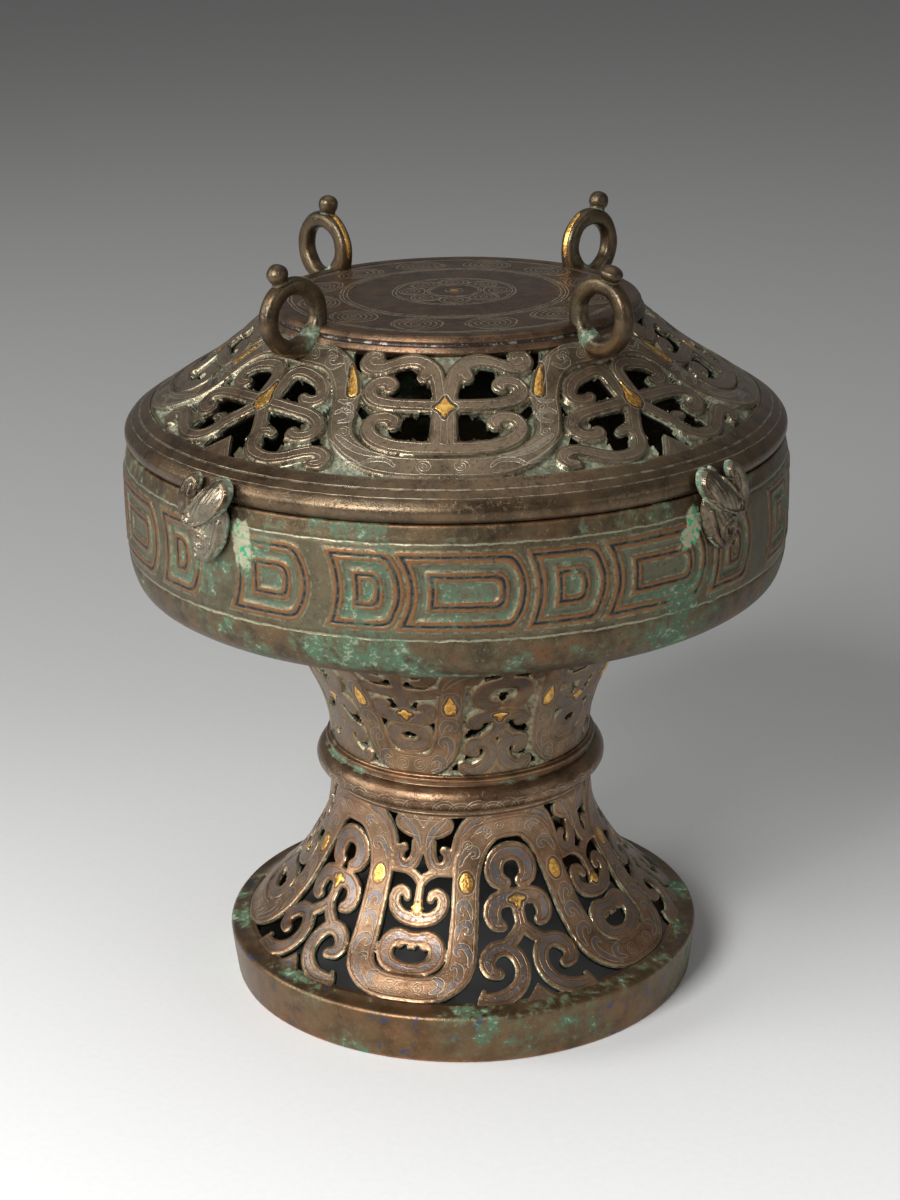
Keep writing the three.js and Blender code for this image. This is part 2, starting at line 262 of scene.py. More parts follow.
@dataclass
class Mesh:
    """A mesh in the making: points in metres, faces, and numbers kept at each point."""

    points: np.ndarray
    quads: np.ndarray
    values: dict[str, np.ndarray] = field(default_factory=dict)
    fans: list[np.ndarray] = field(default_factory=list)

    def joined(self, other: "Mesh") -> "Mesh":
        """Puts another mesh beside this one.

        Args:
            other: The mesh to add, with the same kept numbers.

        Returns:
            One mesh of both.
        """
        shift = len(self.points)
        return Mesh(
            np.vstack([self.points, other.points]),
            np.vstack([self.quads, other.quads + shift]),
            {k: np.concatenate([v, other.values[k]]) for k, v in self.values.items()},
            self.fans + [f + shift for f in other.fans],
        )

    def piece(self, name: str, finish: bpy.types.Material, body: Body, metal: Metal,
              crease: float = 50) -> bpy.types.Object:
        """Makes the Blender object, smooth but for its creases, and hangs it on its body.

        Args:
            name: The piece's name.
            finish: Its material.
            body: The body that it moves with.
            metal: Which metal the piece is; not used.
            crease: Edges that turn by more than this many degrees stay sharp.

        Returns:
            The new object.
        """
        faces = [self.quads.ravel()] + [f.ravel() for f in self.fans]
        sizes = np.concatenate([np.full(len(self.quads), 4)] + [np.array([len(f)]) for f in self.fans])
        corners = np.concatenate(faces).astype(np.int32)
        mesh = bpy.data.meshes.new(name)
        mesh.vertices.add(len(self.points))
        mesh.vertices.foreach_set("co", self.points.astype(np.float32).ravel())
        mesh.loops.add(len(corners))
        mesh.loops.foreach_set("vertex_index", corners)
        mesh.polygons.add(len(sizes))
        mesh.polygons.foreach_set("loop_start", (np.cumsum(sizes) - sizes).astype(np.int32))
        mesh.update(calc_edges=True)
        for key, value in self.values.items():
            kept = mesh.attributes.new(key, "FLOAT", "POINT")
            kept.data.foreach_set("value", value.astype(np.float32).ravel())
        mesh.shade_smooth()
        mesh.set_sharp_from_angle(angle=math.radians(crease))
        mesh.materials.append(finish)
        obj = bpy.data.objects.new(name, mesh)
        bpy.context.scene.collection.objects.link(obj)
        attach(obj, body.value)
        return obj


def turned(section: Section, phi: np.ndarray,
           relief: Callable[[np.ndarray, Section], np.ndarray] | None = None) -> Mesh:
    """Turns a section round the axis: a full turn joins on itself, a part turn is closed by end faces.

    Args:
        section: The closed section.
        phi: Angles in degrees, rising; a full turn when its ends are 360 degrees apart.
        relief: Gives outward millimetres for every angle and section point, or None.

    Returns:
        The closed mesh, with its wear and shelter.
    """
    whole = abs(phi[-1] - phi[0] - 360) < 1e-9
    angles = phi[:-1] if whole else phi
    n, m = len(angles), len(section.points)
    out = np.zeros((n, m)) if relief is None else relief(angles, section)
    points = round_axis(angles[:, None], section.points[None, :, 0] + out,
                        section.points[None, :, 1] + 0 * out)
    on_axis = section.points[:, 0] < 1e-6
    ids = np.arange(n * m).reshape(n, m)
    ids[:, on_axis] = ids[0, on_axis]
    j, k = np.arange(n if whole else n - 1), np.arange(m)
    a, b = ids[j][:, k], ids[(j + 1) % n][:, k]
    quads = np.stack([a, b, np.roll(b, -1, axis=1), np.roll(a, -1, axis=1)], axis=-1)
    axis_side = on_axis & np.roll(on_axis, -1)
    quads = quads[:, ~axis_side].reshape(-1, 4)
    flat = (quads[:, 0] == quads[:, 1]) | (quads[:, 2] == quads[:, 3])
    fans = []
    for face in quads[flat]:
        fans.append(np.array(list(dict.fromkeys(face.tolist()))))
    if not whole:
        fans += [ids[0], ids[-1][::-1]]
    kept = {
        "wear": np.broadcast_to(section.wear, (n, m)).ravel(),
        "shelter": np.broadcast_to(section.shelter, (n, m)).ravel(),
    }
    return Mesh(points.reshape(-1, 3), quads[~flat], kept, fans)


def grid_quads(ids: np.ndarray) -> np.ndarray:
    """Gives the four corners of every cell of a grid of point numbers."""
    return np.stack([ids[:-1, :-1], ids[:-1, 1:], ids[1:, 1:], ids[1:, :-1]], axis=-1)


def sleeve_quads(ids: np.ndarray) -> np.ndarray:
    """Gives the four corners of every cell of a grid whose rows close on themselves."""
    a, b = ids[:-1], np.roll(ids[:-1], -1, axis=1)
    c, d = np.roll(ids[1:], -1, axis=1), ids[1:]
    return np.stack([a, d, c, b], axis=-1)


def standing(depth: np.ndarray) -> np.ndarray:
    """Finds the cells that stand inside a field, and fills those that would meet only at a corner.

    Args:
        depth: Distance inside the metal at each grid point.

    Returns:
        True for each cell that stands.
    """
    keep = (depth[:-1, :-1] + depth[1:, :-1] + depth[:-1, 1:] + depth[1:, 1:]) > 0
    paired = (keep[:-1, :-1] == keep[1:, 1:]) & (keep[1:, :-1] == keep[:-1, 1:])
    crossed = paired & (keep[:-1, :-1] != keep[1:, :-1])
    keep[:-1, :-1] |= crossed
    keep[1:, 1:] |= crossed
    return keep


def bordered(framed: np.ndarray) -> np.ndarray:
    """Finds the grid points between standing and empty cells, given the cells and a frame round them."""
    around = framed[:-1, :-1].astype(int) + framed[1:, :-1] + framed[:-1, 1:] + framed[1:, 1:]
    return (around > 0) & (around < 4)


def shell(outer: np.ndarray, inner: np.ndarray, keep: np.ndarray, values: dict[str, np.ndarray]) -> Mesh:
    """Closes a sheet of kept cells: outer face, inner face, and a wall of two steps round every border.

    Args:
        outer: Outer points, rows by columns by 3.
        inner: Inner points, the same shape.
        keep: Which cells stand, rows less one by columns less one.
        values: Numbers at the outer points, carried down to the inner ones.

    Returns:
        The closed mesh; its number "inside" is 0 on the outer face and 1 on the inner.
    """
    rows, columns = outer.shape[:2]
    ids = np.arange(rows * columns).reshape(rows, columns)
    cells = grid_quads(ids)
    a, b, c, d = np.moveaxis(cells, -1, 0)
    top = cells[keep]
    framed = np.pad(keep, 1)
    here = framed[1:-1, 1:-1]
    sides = [
        (framed[:-2, 1:-1], a, b),
        (framed[1:-1, 2:], b, c),
        (framed[2:, 1:-1], c, d),
        (framed[1:-1, :-2], d, a),
    ]
    edges = np.vstack([np.stack([p[here & ~n], q[here & ~n]], axis=-1) for n, p, q in sides])
    total = rows * columns
    start, end = edges[:, 0], edges[:, 1]
    wall = np.vstack([
        np.stack([end + k * total, start + k * total, start + (k + 1) * total, end + (k + 1) * total],
                 axis=-1)
        for k in (0, 1)
    ])
    quads = np.vstack([top, top[:, ::-1] + 2 * total, wall])
    used, flat = np.unique(quads, return_inverse=True)
    middle = outer * (1 - MIDDLE) + inner * MIDDLE
    points = np.concatenate([outer.reshape(-1, 3), middle.reshape(-1, 3), inner.reshape(-1, 3)])[used]
    kept = {k: np.tile(v.ravel(), 3)[used] for k, v in values.items()}
    kept["inside"] = np.repeat([0.0, MIDDLE, 1.0], total)[used]
    return Mesh(points, flat.reshape(-1, 4), kept)


# Finishes


class Recipe:
    """A material being mixed: each method adds a node and gives back its output."""

    def __init__(self, name: str) -> None:
        """Starts a material with one shader.

        Args:
            name: The material's name.
        """
        self.material = bpy.data.materials.new(name)
        self.material.use_nodes = True
        self.tree = self.material.node_tree
        self.tree.nodes.clear()
        self.shader = self.tree.nodes.new("ShaderNodeBsdfPrincipled")
        output = self.tree.nodes.new("ShaderNodeOutputMaterial")
        self.tree.links.new(self.shader.outputs["BSDF"], output.inputs["Surface"])
        self.place = self.tree.nodes.new("ShaderNodeTexCoord").outputs["Object"]

    def feed(self, socket: Socket, value: "Socket | float | Colour") -> None:
        """Sets an input, or links an output to it.

        Args:
            socket: The input.
            value: A number, a colour or an output.
        """
        if isinstance(value, bpy.types.NodeSocket):
            self.tree.links.new(value, socket)
        else:
            socket.default_value = value

    def math(self, operation: str, *terms: "Socket | float", clamp: bool = False) -> Socket:
        """Does one sum.

        Args:
            operation: The Math node's operation.
            terms: Its inputs.
            clamp: Whether the result stays from 0 to 1.

        Returns:
            The result.
        """
        node = self.tree.nodes.new("ShaderNodeMath")
        node.operation = operation
        node.use_clamp = clamp
        for socket, term in zip(node.inputs, terms):
            self.feed(socket, term)
        return node.outputs[0]

    def plus(self, first: Socket, second: "Socket | float", share: float = 1) -> Socket:
        """Adds a share of one number to another."""
        return self.math("MULTIPLY_ADD", second, share, first)

    def less(self, first: "Socket | float", second: "Socket | float") -> Socket:
        """Takes one number from another."""
        return self.math("SUBTRACT", first, second)

    def times(self, first: Socket, second: "Socket | float") -> Socket:
        """Multiplies two numbers."""
        return self.math("MULTIPLY", first, second)

    def most(self, *terms: Socket) -> Socket:
        """Gives the greatest of several numbers."""
        found = terms[0]
        for term in terms[1:]:
            found = self.math("MAXIMUM", found, term)
        return found

    def rise(self, value: Socket, low: float, high: float, to_low: float = 0, to_high: float = 1) -> Socket:
        """Rises smoothly from one number to another as a value passes from low to high.

        Args:
            value: The value.
            low: Where the rise starts.
            high: Where it ends.
            to_low: The result up to low.
            to_high: The result past high.

        Returns:
            The result.
        """
        node = self.tree.nodes.new("ShaderNodeMapRange")
        node.interpolation_type = "SMOOTHSTEP"
        for socket, term in zip(node.inputs, (value, low, high, to_low, to_high)):
            self.feed(socket, term)
        return node.outputs[0]

    def line(self, value: Socket, at: float, half: float) -> Socket:
        """Is 1 where a value is at a given number and falls to 0 half a width away."""
        gap = self.math("ABSOLUTE", self.less(value, at))
        return self.rise(gap, half * 0.45, half, 1, 0)

    def between(self, value: Socket, low: float, high: float, soft: float = 0.2) -> Socket:
        """Is 1 from low to high and falls softly to 0 outside."""
        return self.times(self.rise(value, low - soft, low + soft),
                          self.rise(value, high - soft, high + soft, 1, 0))

    def mix(self, share: "Socket | float", low: "Socket | Colour", high: "Socket | Colour") -> Socket:
        """Blends two colours.

        Args:
            share: How much of the second.
            low: The first colour.
            high: The second.

        Returns:
            The blend.
        """
        node = self.tree.nodes.new("ShaderNodeMix")
        node.data_type = "RGBA"
        self.feed(node.inputs[0], share)
        self.feed(node.inputs[6], low)
        self.feed(node.inputs[7], high)
        return node.outputs[2]

    def noise(self, size: float, detail: float = 4, rough: float = 0.55, warp: float = 0) -> Socket:
        """Makes cloudy noise from 0 to 1 about features of a size in millimetres.

        Args:
            size: The size of the features.
            detail: Finer octaves.
            rough: How strong they are.
            warp: How much the noise bends itself.

        Returns:
            The noise.
        """
        node = self.tree.nodes.new("ShaderNodeTexNoise")
        self.feed(node.inputs["Vector"], self.place)
        node.inputs["Scale"].default_value = 1 / (size * MM)
        node.inputs["Detail"].default_value = detail
        node.inputs["Roughness"].default_value = rough
        node.inputs["Distortion"].default_value = warp
        return node.outputs["Fac"]

    def shake(self, size: float) -> Socket:
        """Makes slow noise about zero, which lets drawn lines waver."""
        return self.less(self.noise(size, 3, 0.6), 0.5)

    def kept(self, name: str) -> Socket:
        """Reads a number kept at the mesh's points."""
        node = self.tree.nodes.new("ShaderNodeAttribute")
        node.attribute_name = name
        return node.outputs["Fac"]

    def axes(self) -> tuple[Socket, Socket, Socket]:
        """Splits the place on the vessel into X, Y and Z in millimetres."""
        node = self.tree.nodes.new("ShaderNodeSeparateXYZ")
        self.feed(node.inputs[0], self.place)
        return tuple(self.times(out, 1 / MM) for out in node.outputs)

    def turns(self, x: Socket, y: Socket) -> Socket:
        """Angle round the axis, in turns."""
        return self.times(self.math("ARCTAN2", y, x), 1 / TURN)

    def reach(self, x: Socket, y: Socket) -> Socket:
        """Distance from the origin of two lengths."""
        return self.math("SQRT", self.plus(self.times(x, x), self.times(y, y)))

    def curl(self, x: Socket, y: Socket, at: tuple[float, float], reach: float, pitch: float,
             turn: float = 1, half: float = 0.22) -> Socket:
        """Draws a spiral line: it shows where radius over pitch, less the turned angle, is a whole number.

        Args:
            x: Distance across, in millimetres.
            y: Distance up.
            at: The spiral's middle.
            reach: Its outer radius.
            pitch: The space between its turns.
            turn: 1 or -1 for its sense.
            half: Half the line's width.

        Returns:
            1 on the line.
        """
        dx, dy = self.less(x, at[0]), self.less(y, at[1])
        far = self.reach(dx, dy)
        angle = self.times(self.math("ARCTAN2", dy, dx), turn / TURN)
        phase = self.math("FRACT", self.plus(angle, far, 1 / pitch))
        mark = self.line(phase, 0.5, half / pitch)
        return self.times(mark, self.rise(far, reach - 0.2, reach, 1, 0))

    def bump(self, height: Socket, strength: float, distance: float) -> None:
        """Gives the shader its fine relief.

        Args:
            height: The height, from 0 to 1.
            strength: How much of it shows.
            distance: The height's real size in millimetres.
        """
        node = self.tree.nodes.new("ShaderNodeBump")
        node.inputs["Strength"].default_value = strength
        node.inputs["Distance"].default_value = distance * MM
        self.feed(node.inputs["Height"], height)
        self.feed(self.shader.inputs["Normal"], node.outputs["Normal"])


def shade(r: int, g: int, b: int) -> Colour:
    """Turns a screen colour of 0 to 255 into the shader's linear colour."""
    c = np.array([r, g, b]) / 255
    low = c / 12.92
    high = ((c + 0.055) / 1.055) ** 2.4
    return (*np.where(c <= 0.04045, low, high).tolist(), 1.0)


@dataclass
class Layer:
    """A colour laid on the metal: an inlay, a line, a worn edge."""

    share: Socket
    colour: "Socket | Colour"


@dataclass(frozen=True)
class Bronze:
    """Old bronze: brown metal, a grey-olive film, green crust and worn copper edges."""

    name: str
    brown: Colour = shade(124, 92, 68)
    dark: Colour = shade(72, 52, 40)
    film: Colour = shade(118, 112, 92)
    film_share: float = 0.55
    green: Colour = shade(78, 102, 80)
    bright: Colour = shade(62, 126, 92)
    pale: Colour = shade(148, 156, 132)
    green_share: float = 0.3
    chalk: float = 0.5
    copper: Colour = shade(158, 108, 76)
    wear_share: float = 0.6
    azurite: float = 0.0
    speckle: float = 0.5
    rough: float = 0.4
    metal: float = 0.8

    def lay(self, mix: Recipe, layers: Sequence[Layer] = (), crust: Socket | None = None,
            wear: Socket | None = None, height: Socket | None = None, over: Sequence[Layer] = ()) -> None:
        """Lays the finish on a material, from the metal up to the crust.

        Args:
            mix: The material being mixed.
            layers: Colours laid on the metal, in order.
            crust: Extra green from 0 to 1, or None.
            wear: Extra wear from 0 to 1, or None.
            height: Extra relief, 1 for the bump's full distance, or None.
            over: Crusts laid on everything else, in order; they dull the metal.
        """
        broad = mix.noise(38, 5, 0.6, 0.4)
        cloud = mix.noise(9, 6, 0.62)
        grain = mix.noise(0.9, 4, 0.6)
        pitted = mix.noise(2.4, 6, 0.7)
        body = mix.mix(mix.rise(cloud, 0.3, 0.7), self.dark, self.brown)
        filmed = mix.rise(mix.plus(broad, cloud, 0.5), 0.5, 0.95, 0, self.film_share)
        body = mix.mix(filmed, body, self.film)
        pits = mix.rise(mix.noise(1.5, 5, 0.74), 0.54, 0.68, 0, self.speckle)
        flecks = mix.rise(mix.noise(1.9, 6, 0.78), 0.58, 0.66, 0, self.speckle * 0.7)
        for layer in layers:
            body = mix.mix(layer.share, body, layer.colour)
        if wear is not None:
            scuffs = mix.plus(mix.times(cloud, 0.5), pitted, 0.5)
            rubbed = mix.rise(mix.plus(mix.times(wear, 0.6), scuffs, 0.9), 0.88, 1.2, 0, self.wear_share)
            body = mix.mix(rubbed, body, self.copper)
        body = mix.mix(flecks, mix.mix(pits, body, self.dark), self.pale)
        patch = mix.plus(mix.times(broad, 0.6), mix.noise(4.5, 7, 0.68), 0.4)
        if crust is not None:
            patch = mix.plus(patch, crust, 0.3)
        edge = 0.74 - 0.34 * self.green_share
        crusted = mix.rise(patch, edge - 0.04, edge + 0.05)
        powder = mix.rise(mix.plus(pitted, crusted, 0.12), 0.68 - 0.2 * self.chalk, 0.8 - 0.2 * self.chalk)
        vivid = mix.rise(mix.noise(2.8, 5, 0.7), 0.56, 0.64, 0, 0.8)
        skin = mix.mix(powder, mix.mix(vivid, self.green, self.bright), self.pale)
        if self.azurite > 0:
            blue = mix.rise(mix.noise(6, 6, 0.62, 0.4), 0.74 - 0.14 * self.azurite,
                            0.79 - 0.14 * self.azurite)
            body = mix.mix(mix.times(blue, 0.75), body, shade(66, 80, 116))
        body = mix.mix(mix.times(crusted, 0.92), body, skin)
        for layer in over:
            body = mix.mix(layer.share, body, layer.colour)
            crusted = mix.most(crusted, layer.share)
        mix.feed(mix.shader.inputs["Base Color"], body)
        mix.feed(mix.shader.inputs["Metallic"], mix.times(mix.less(1, crusted), self.metal))
        rough = mix.plus(mix.times(cloud, 0.16), crusted, 0.36)
        rough = mix.plus(rough, grain, 0.12)
        mix.feed(mix.shader.inputs["Roughness"], mix.math("ADD", rough, self.rough - 0.14))
        relief = mix.plus(mix.times(grain, 0.3), mix.times(crusted, pitted), 0.7)
        relief = mix.plus(mix.plus(relief, cloud, 0.3), pits, -0.3)
        if height is not None:
            relief = mix.plus(relief, height)
        mix.bump(relief, 0.6, 0.5)

    def worn(self) -> bpy.types.Material:
        """Mixes the finish for a turned or sculpted piece, worn and crusted where its mesh says."""
        mix = Recipe(self.name)
        self.lay(mix, crust=mix.kept("shelter"), wear=mix.kept("wear"))
        return mix.material


@dataclass(frozen=True)
class Whorl:
    """A spiral of fine line: its middle in millimetres across and up, its reach and its sense."""

    across: float
    rise: float
    reach: float
    turn: float = 1


@dataclass(frozen=True)
class Ribbons:
    """Finish of a pierced wall: framed ribbons with an inlaid stripe, and an engraved band."""

    metal: Bronze
    stripe: Colour
    stripe_share: float
    swirl: Colour
    line: Colour
    line_share: float
    seam: Colour
    border: float
    outline: float
    ground: float
    whorls: tuple[Whorl, ...]
    stripe_gap: float = 0.4
    stripe_end: float = 2.7
    whorl_pitch: float = 1.15

    def material(self) -> bpy.types.Material:
        """Mixes the finish from the distances kept in the mesh.

        Returns:
            The material.
        """
        mix = Recipe(self.metal.name)
        shake = mix.shake(5)
        edge = mix.plus(mix.kept("edge"), shake, 0.9)
        lane, inside = mix.kept("lane"), mix.kept("inside")
        x = mix.plus(mix.math("ABSOLUTE", mix.kept("across")), shake, 1.6)
        y = mix.plus(mix.kept("rise"), shake, -1.6)
        outer = mix.rise(inside, 0.02, 0.12, 1, 0)
        scroll = mix.times(mix.less(1, lane), outer)
        band = mix.times(lane, outer)
        cloudy = mix.plus(mix.times(mix.noise(8, 4, 0.6), 0.5), mix.noise(1.6, 4, 0.6), 0.5)
        faded = mix.rise(cloudy, 0.4, 0.56, 0.15, 1)
        striped = mix.between(edge, self.border + self.stripe_gap, self.border + self.stripe_end, 0.15)
        stripe = mix.times(mix.times(striped, scroll), faded)
        seam = mix.times(mix.line(edge, self.border, 0.3), outer)
        swirls = mix.plus(mix.kept("swirl"), shake, 0.7)
        swirl = mix.times(mix.times(mix.rise(swirls, 0.1, 0.45), outer), faded)
        drawn = mix.times(mix.line(swirls, -0.1, 0.28), outer)
        spirals = [mix.curl(x, y, (w.across, w.rise), w.reach, self.whorl_pitch,
                            w.turn) for w in self.whorls]
        whorl = mix.times(mix.most(*spirals), band)
        gilt = mix.kept("gilt")
        bezel = mix.times(mix.between(gilt, -0.95, 0.4, 0.12), outer)
        framed = mix.times(mix.line(gilt, -1.15, 0.26), outer)
        lines = mix.most(drawn, whorl, framed)
        broken = mix.times(lines, mix.rise(mix.noise(3, 4, 0.7), 0.36, 0.5, 0.25, self.line_share))
        wear = mix.times(mix.rise(edge, 0.3, 1.2, 0.6, 0.15), outer)
        crust = mix.less(mix.rise(inside, 0.06, 0.25, 0, 0.8), mix.rise(inside, 0.4, 0.6, 0, 0.6))
        crust = mix.most(crust, mix.times(mix.kept("sunk"), self.ground))
        chalked = mix.rise(mix.noise(2.2, 5, 0.66), 0.4, 0.54, 0, self.outline)
        outline = mix.times(mix.times(mix.rise(mix.kept("edge"), -0.1, 0.35, 1, 0), outer), chalked)
        # Painted shade: the inner face and the lower part of each gap wall turn near-black, standing in for
        # the shade inside the pierced wall.
        deep = mix.rise(inside, 0.3, 0.8, 0, 0.96)
        layers = [
            Layer(deep, shade(20, 17, 15)),
            Layer(mix.times(stripe, self.stripe_share), self.stripe),
            Layer(mix.times(swirl, self.stripe_share), self.swirl),
            Layer(mix.times(bezel, 0.8), self.metal.dark),
            Layer(mix.times(mix.times(seam, self.line_share), faded), self.seam),
            Layer(broken, self.line),
            Layer(outline, self.metal.pale),
        ]
        height = mix.times(mix.most(lines, seam), -0.35)
        height = mix.plus(height, stripe, -0.12)
        self.metal.lay(mix, layers, crust, wear, height)
        return mix.material


@dataclass(frozen=True)
class Gold:
    """Hammered sheet gold, dinted and dulled in places."""

    name: str = "inlaid_gold"
    bright: Colour = shade(250, 206, 116)
    deep: Colour = shade(206, 140, 64)

    def material(self) -> bpy.types.Material:
        """Mixes the finish.

        Returns:
            The material.
        """
        mix = Recipe(self.name)
        cloud, dint = mix.noise(1.6, 4, 0.6), mix.noise(0.8, 2, 0.5)
        mix.feed(mix.shader.inputs["Base Color"],
                 mix.mix(mix.rise(cloud, 0.34, 0.66), self.deep, self.bright))
        mix.shader.inputs["Metallic"].default_value = 1.0
        mix.feed(mix.shader.inputs["Roughness"], mix.rise(dint, 0.2, 0.8, 0.24, 0.44))
        mix.bump(dint, 0.6, 0.3)
        return mix.material


@dataclass(frozen=True)
class BasinFinish:
    """Finish of the basin: framed fields in copper lines and dark inlay on a green-grey ground."""

    metal: Bronze = Bronze("basin_bronze", brown=shade(110, 84, 58), dark=shade(60, 48, 36),
                           film=shade(98, 92, 70), film_share=0.7, green=shade(66, 94, 70),
                           pale=shade(134, 148, 122), green_share=0.42, chalk=0.3,
                           copper=shade(146, 104, 70), azurite=0.3, speckle=0.7, rough=0.4)
    copper: Colour = shade(134, 92, 58)
    inlay: Colour = shade(40, 42, 48)
    ground: Colour = shade(106, 108, 88)
    copper_lines: tuple[tuple[float, float], ...] = ((0.1, 1.25), (2.75, 4.0), (7.5, 8.6), (10.0, 11.1))
    dark_lines: tuple[tuple[float, float], ...] = ((2.0, 0.55), (9.3, 0.5))
    # Pale lines along the edges of the raised frames, as distance inside the field and half width: pale crust
    # and a painted highlight on the ridges.
    ledge_crust_and_highlight_lines: tuple[tuple[float, float], ...] = ((-0.35, 0.5), (4.4, 0.5), (7.2, 0.45), (11.4, 0.5))
    cream_crusts: tuple[tuple[float, float, float], ...] = ((-36.2, 0.1, 220.5), (39.9, -0.14, 222))
    upper_thread: float = 226.4
    lower_thread: float = 190.6

    def material(self) -> bpy.types.Material:
        """Mixes the finish from the distance inside each field and the height.

        Returns:
            The material.
        """
        mix = Recipe(self.metal.name)
        shake = mix.shake(6)
        dee = mix.plus(mix.kept("dee"), shake, 0.9)
        outer = mix.rise(mix.kept("inner"), 0.3, 0.6, 1, 0)
        x, y, z = mix.axes()
        turn = mix.times(mix.math("ARCTAN2", x, mix.times(y, -1)), 180 / math.pi)
        beside = []
        for at, lean, high in self.cream_crusts:
            up = mix.less(z, high)
            across = mix.plus(mix.less(turn, at), up, lean)
            far = mix.plus(mix.reach(mix.times(across, 0.5), mix.times(up, 0.1)), shake, 2.4)
            beside.append(mix.rise(far, 0.8, 1.1, 1, 0))
        cream = mix.times(mix.most(*beside), outer)
        dots = mix.times(cream, mix.rise(mix.noise(1.9, 2, 0.5), 0.54, 0.58))
        broken = mix.rise(mix.noise(4, 5, 0.68), 0.34, 0.5, 0.35, 1)
        lines = [mix.between(dee, a, b, 0.16) for a, b in self.copper_lines]
        copper = mix.times(mix.times(mix.most(*lines), broken), outer)
        flecks = mix.rise(mix.noise(2.5, 4, 0.7), 0.4, 0.52, 0.2, 1)
        dark = mix.times(mix.most(*[mix.line(dee, at, half) for at, half in self.dark_lines]), flecks)
        plain = mix.times(mix.most(mix.between(dee, 1.3, 2.7), mix.between(dee, 8.6, 10.0)), 0.5)
        # Pale crust and a painted highlight along the edges of the frames.
        ledge_crust_and_highlight = mix.most(*[mix.line(dee, at, half) for at, half in self.ledge_crust_and_highlight_lines])
        ledge_crust_and_highlight = mix.times(mix.times(ledge_crust_and_highlight, mix.rise(mix.noise(2.6, 5, 0.7), 0.42, 0.56, 0, 0.5)), outer)
        grey = mix.times(mix.most(mix.between(dee, 4.2, 7.4, 0.3), mix.rise(dee, 11.1, 11.4)), 0.6)
        band = mix.between(z, 192, 226, 1.0)
        shaky = mix.plus(z, shake, 1.6)
        thread = mix.most(mix.line(shaky, self.upper_thread, 0.5), mix.line(shaky, self.lower_thread, 0.6))
        rusty = mix.times(mix.rise(mix.noise(9, 6, 0.66), 0.5, 0.6), mix.rise(z, 184, 190, 0.75, 0))
        layers = [
            Layer(mix.times(band, 0.25), self.ground),
            Layer(mix.times(rusty, outer), shade(106, 74, 48)),
            Layer(mix.times(grey, outer), self.ground),
            Layer(mix.times(plain, outer), shade(88, 80, 68)),
            Layer(ledge_crust_and_highlight, shade(150, 150, 124)),
            Layer(mix.times(dark, outer), self.inlay),
            Layer(mix.times(copper, 0.9), self.copper),
            Layer(mix.times(mix.times(thread, broken), outer), shade(150, 148, 124)),
        ]
        low = mix.most(mix.rise(z, 182, 192, 0.24, 0.1), mix.rise(z, 226.5, 228, 0, 0.16))
        crust = mix.most(mix.plus(low, grey, 0.26), mix.times(mix.kept("shelter"), 0.6))
        height = mix.plus(mix.times(copper, 0.25), dark, -0.3)
        height = mix.plus(height, thread, -0.5)
        over = [Layer(mix.times(cream, 0.85), shade(164, 162, 134)), Layer(dots, shade(44, 150, 104))]
        self.metal.lay(mix, layers, crust, mix.kept("wear"), height, over)
        return mix.material


@dataclass(frozen=True)
class DiscFinish:
    """Finish of the lid's disc: dark bronze with rings and whorls in fine pale line, gold at the middle."""

    metal: Bronze = Bronze("disc_bronze", brown=shade(108, 76, 52), dark=shade(66, 48, 36), film_share=0.2,
                           copper=shade(128, 98, 74), wear_share=0.5, green_share=0.08, rough=0.36)
    line: Colour = shade(186, 172, 146)
    rings: tuple[float, ...] = (65.2, 63.9, 44.8, 43.6, 42.0, 24.2, 22.8, 10.6, 9.6, 3.4)
    outer_whorls: tuple[int, float, float] = (12, 54.4, 7.6)
    inner_whorls: tuple[int, float, float] = (8, 16.6, 4.6)
    squeeze: float = 0.82

    def ring(self, mix: Recipe, far: Socket, angle: Socket, count: int, radius: float,
             reach: float) -> Socket:
        """Draws a ring of spirals by folding the full turn into equal shares.

        Args:
            mix: The material being mixed.
            far: Distance from the axis.
            angle: Angle in turns.
            count: How many spirals.
            radius: Radius of the ring they sit on.
            reach: Outer radius of each.

        Returns:
            1 on the lines.
        """
        share = mix.less(mix.math("FRACT", mix.times(angle, count)), 0.5)
        across = mix.times(mix.times(share, TURN / count), far)
        up = mix.less(far, radius)
        spiral = mix.curl(mix.times(across, self.squeeze), up, (0, 0), reach, 1.75, 1, 0.24)
        oval = mix.line(mix.reach(mix.times(across, self.squeeze), up), reach + 0.5, 0.28)
        return mix.most(spiral, oval)

    def material(self) -> bpy.types.Material:
        """Mixes the finish.

        Returns:
            The material.
        """
        mix = Recipe(self.metal.name)
        x, y, z = mix.axes()
        shake = mix.shake(9)
        far = mix.plus(mix.reach(x, y), shake, 1.8)
        angle = mix.plus(mix.turns(x, y), shake, 0.01)
        top = mix.rise(z, 283.5, 285.0)
        rings = [mix.line(far, r, 0.32) for r in self.rings]
        whorls = [
            self.ring(mix, far, angle, *self.outer_whorls),
            self.ring(mix, far, mix.math("ADD", angle, 0.06), *self.inner_whorls),
        ]
        lines = mix.times(mix.most(*rings, *whorls), top)
        broken = mix.times(lines, mix.rise(mix.noise(3.5, 5, 0.7), 0.36, 0.52, 0.2, 0.95))
        groove = mix.between(z, 283.2, 284.2, 0.2)
        silver = mix.times(groove, mix.rise(mix.noise(4, 5, 0.7), 0.52, 0.58, 0, 0.55))
        gold = mix.rise(far, 1.5, 2.0, 1, 0)
        layers = [
            Layer(mix.times(groove, 0.8), shade(44, 42, 44)),
            Layer(silver, shade(176, 174, 164)),
            Layer(broken, self.line),
            Layer(gold, shade(226, 160, 84)),
        ]
        self.metal.lay(mix, layers, None, mix.kept("wear"), mix.times(lines, -0.4))
        return mix.material


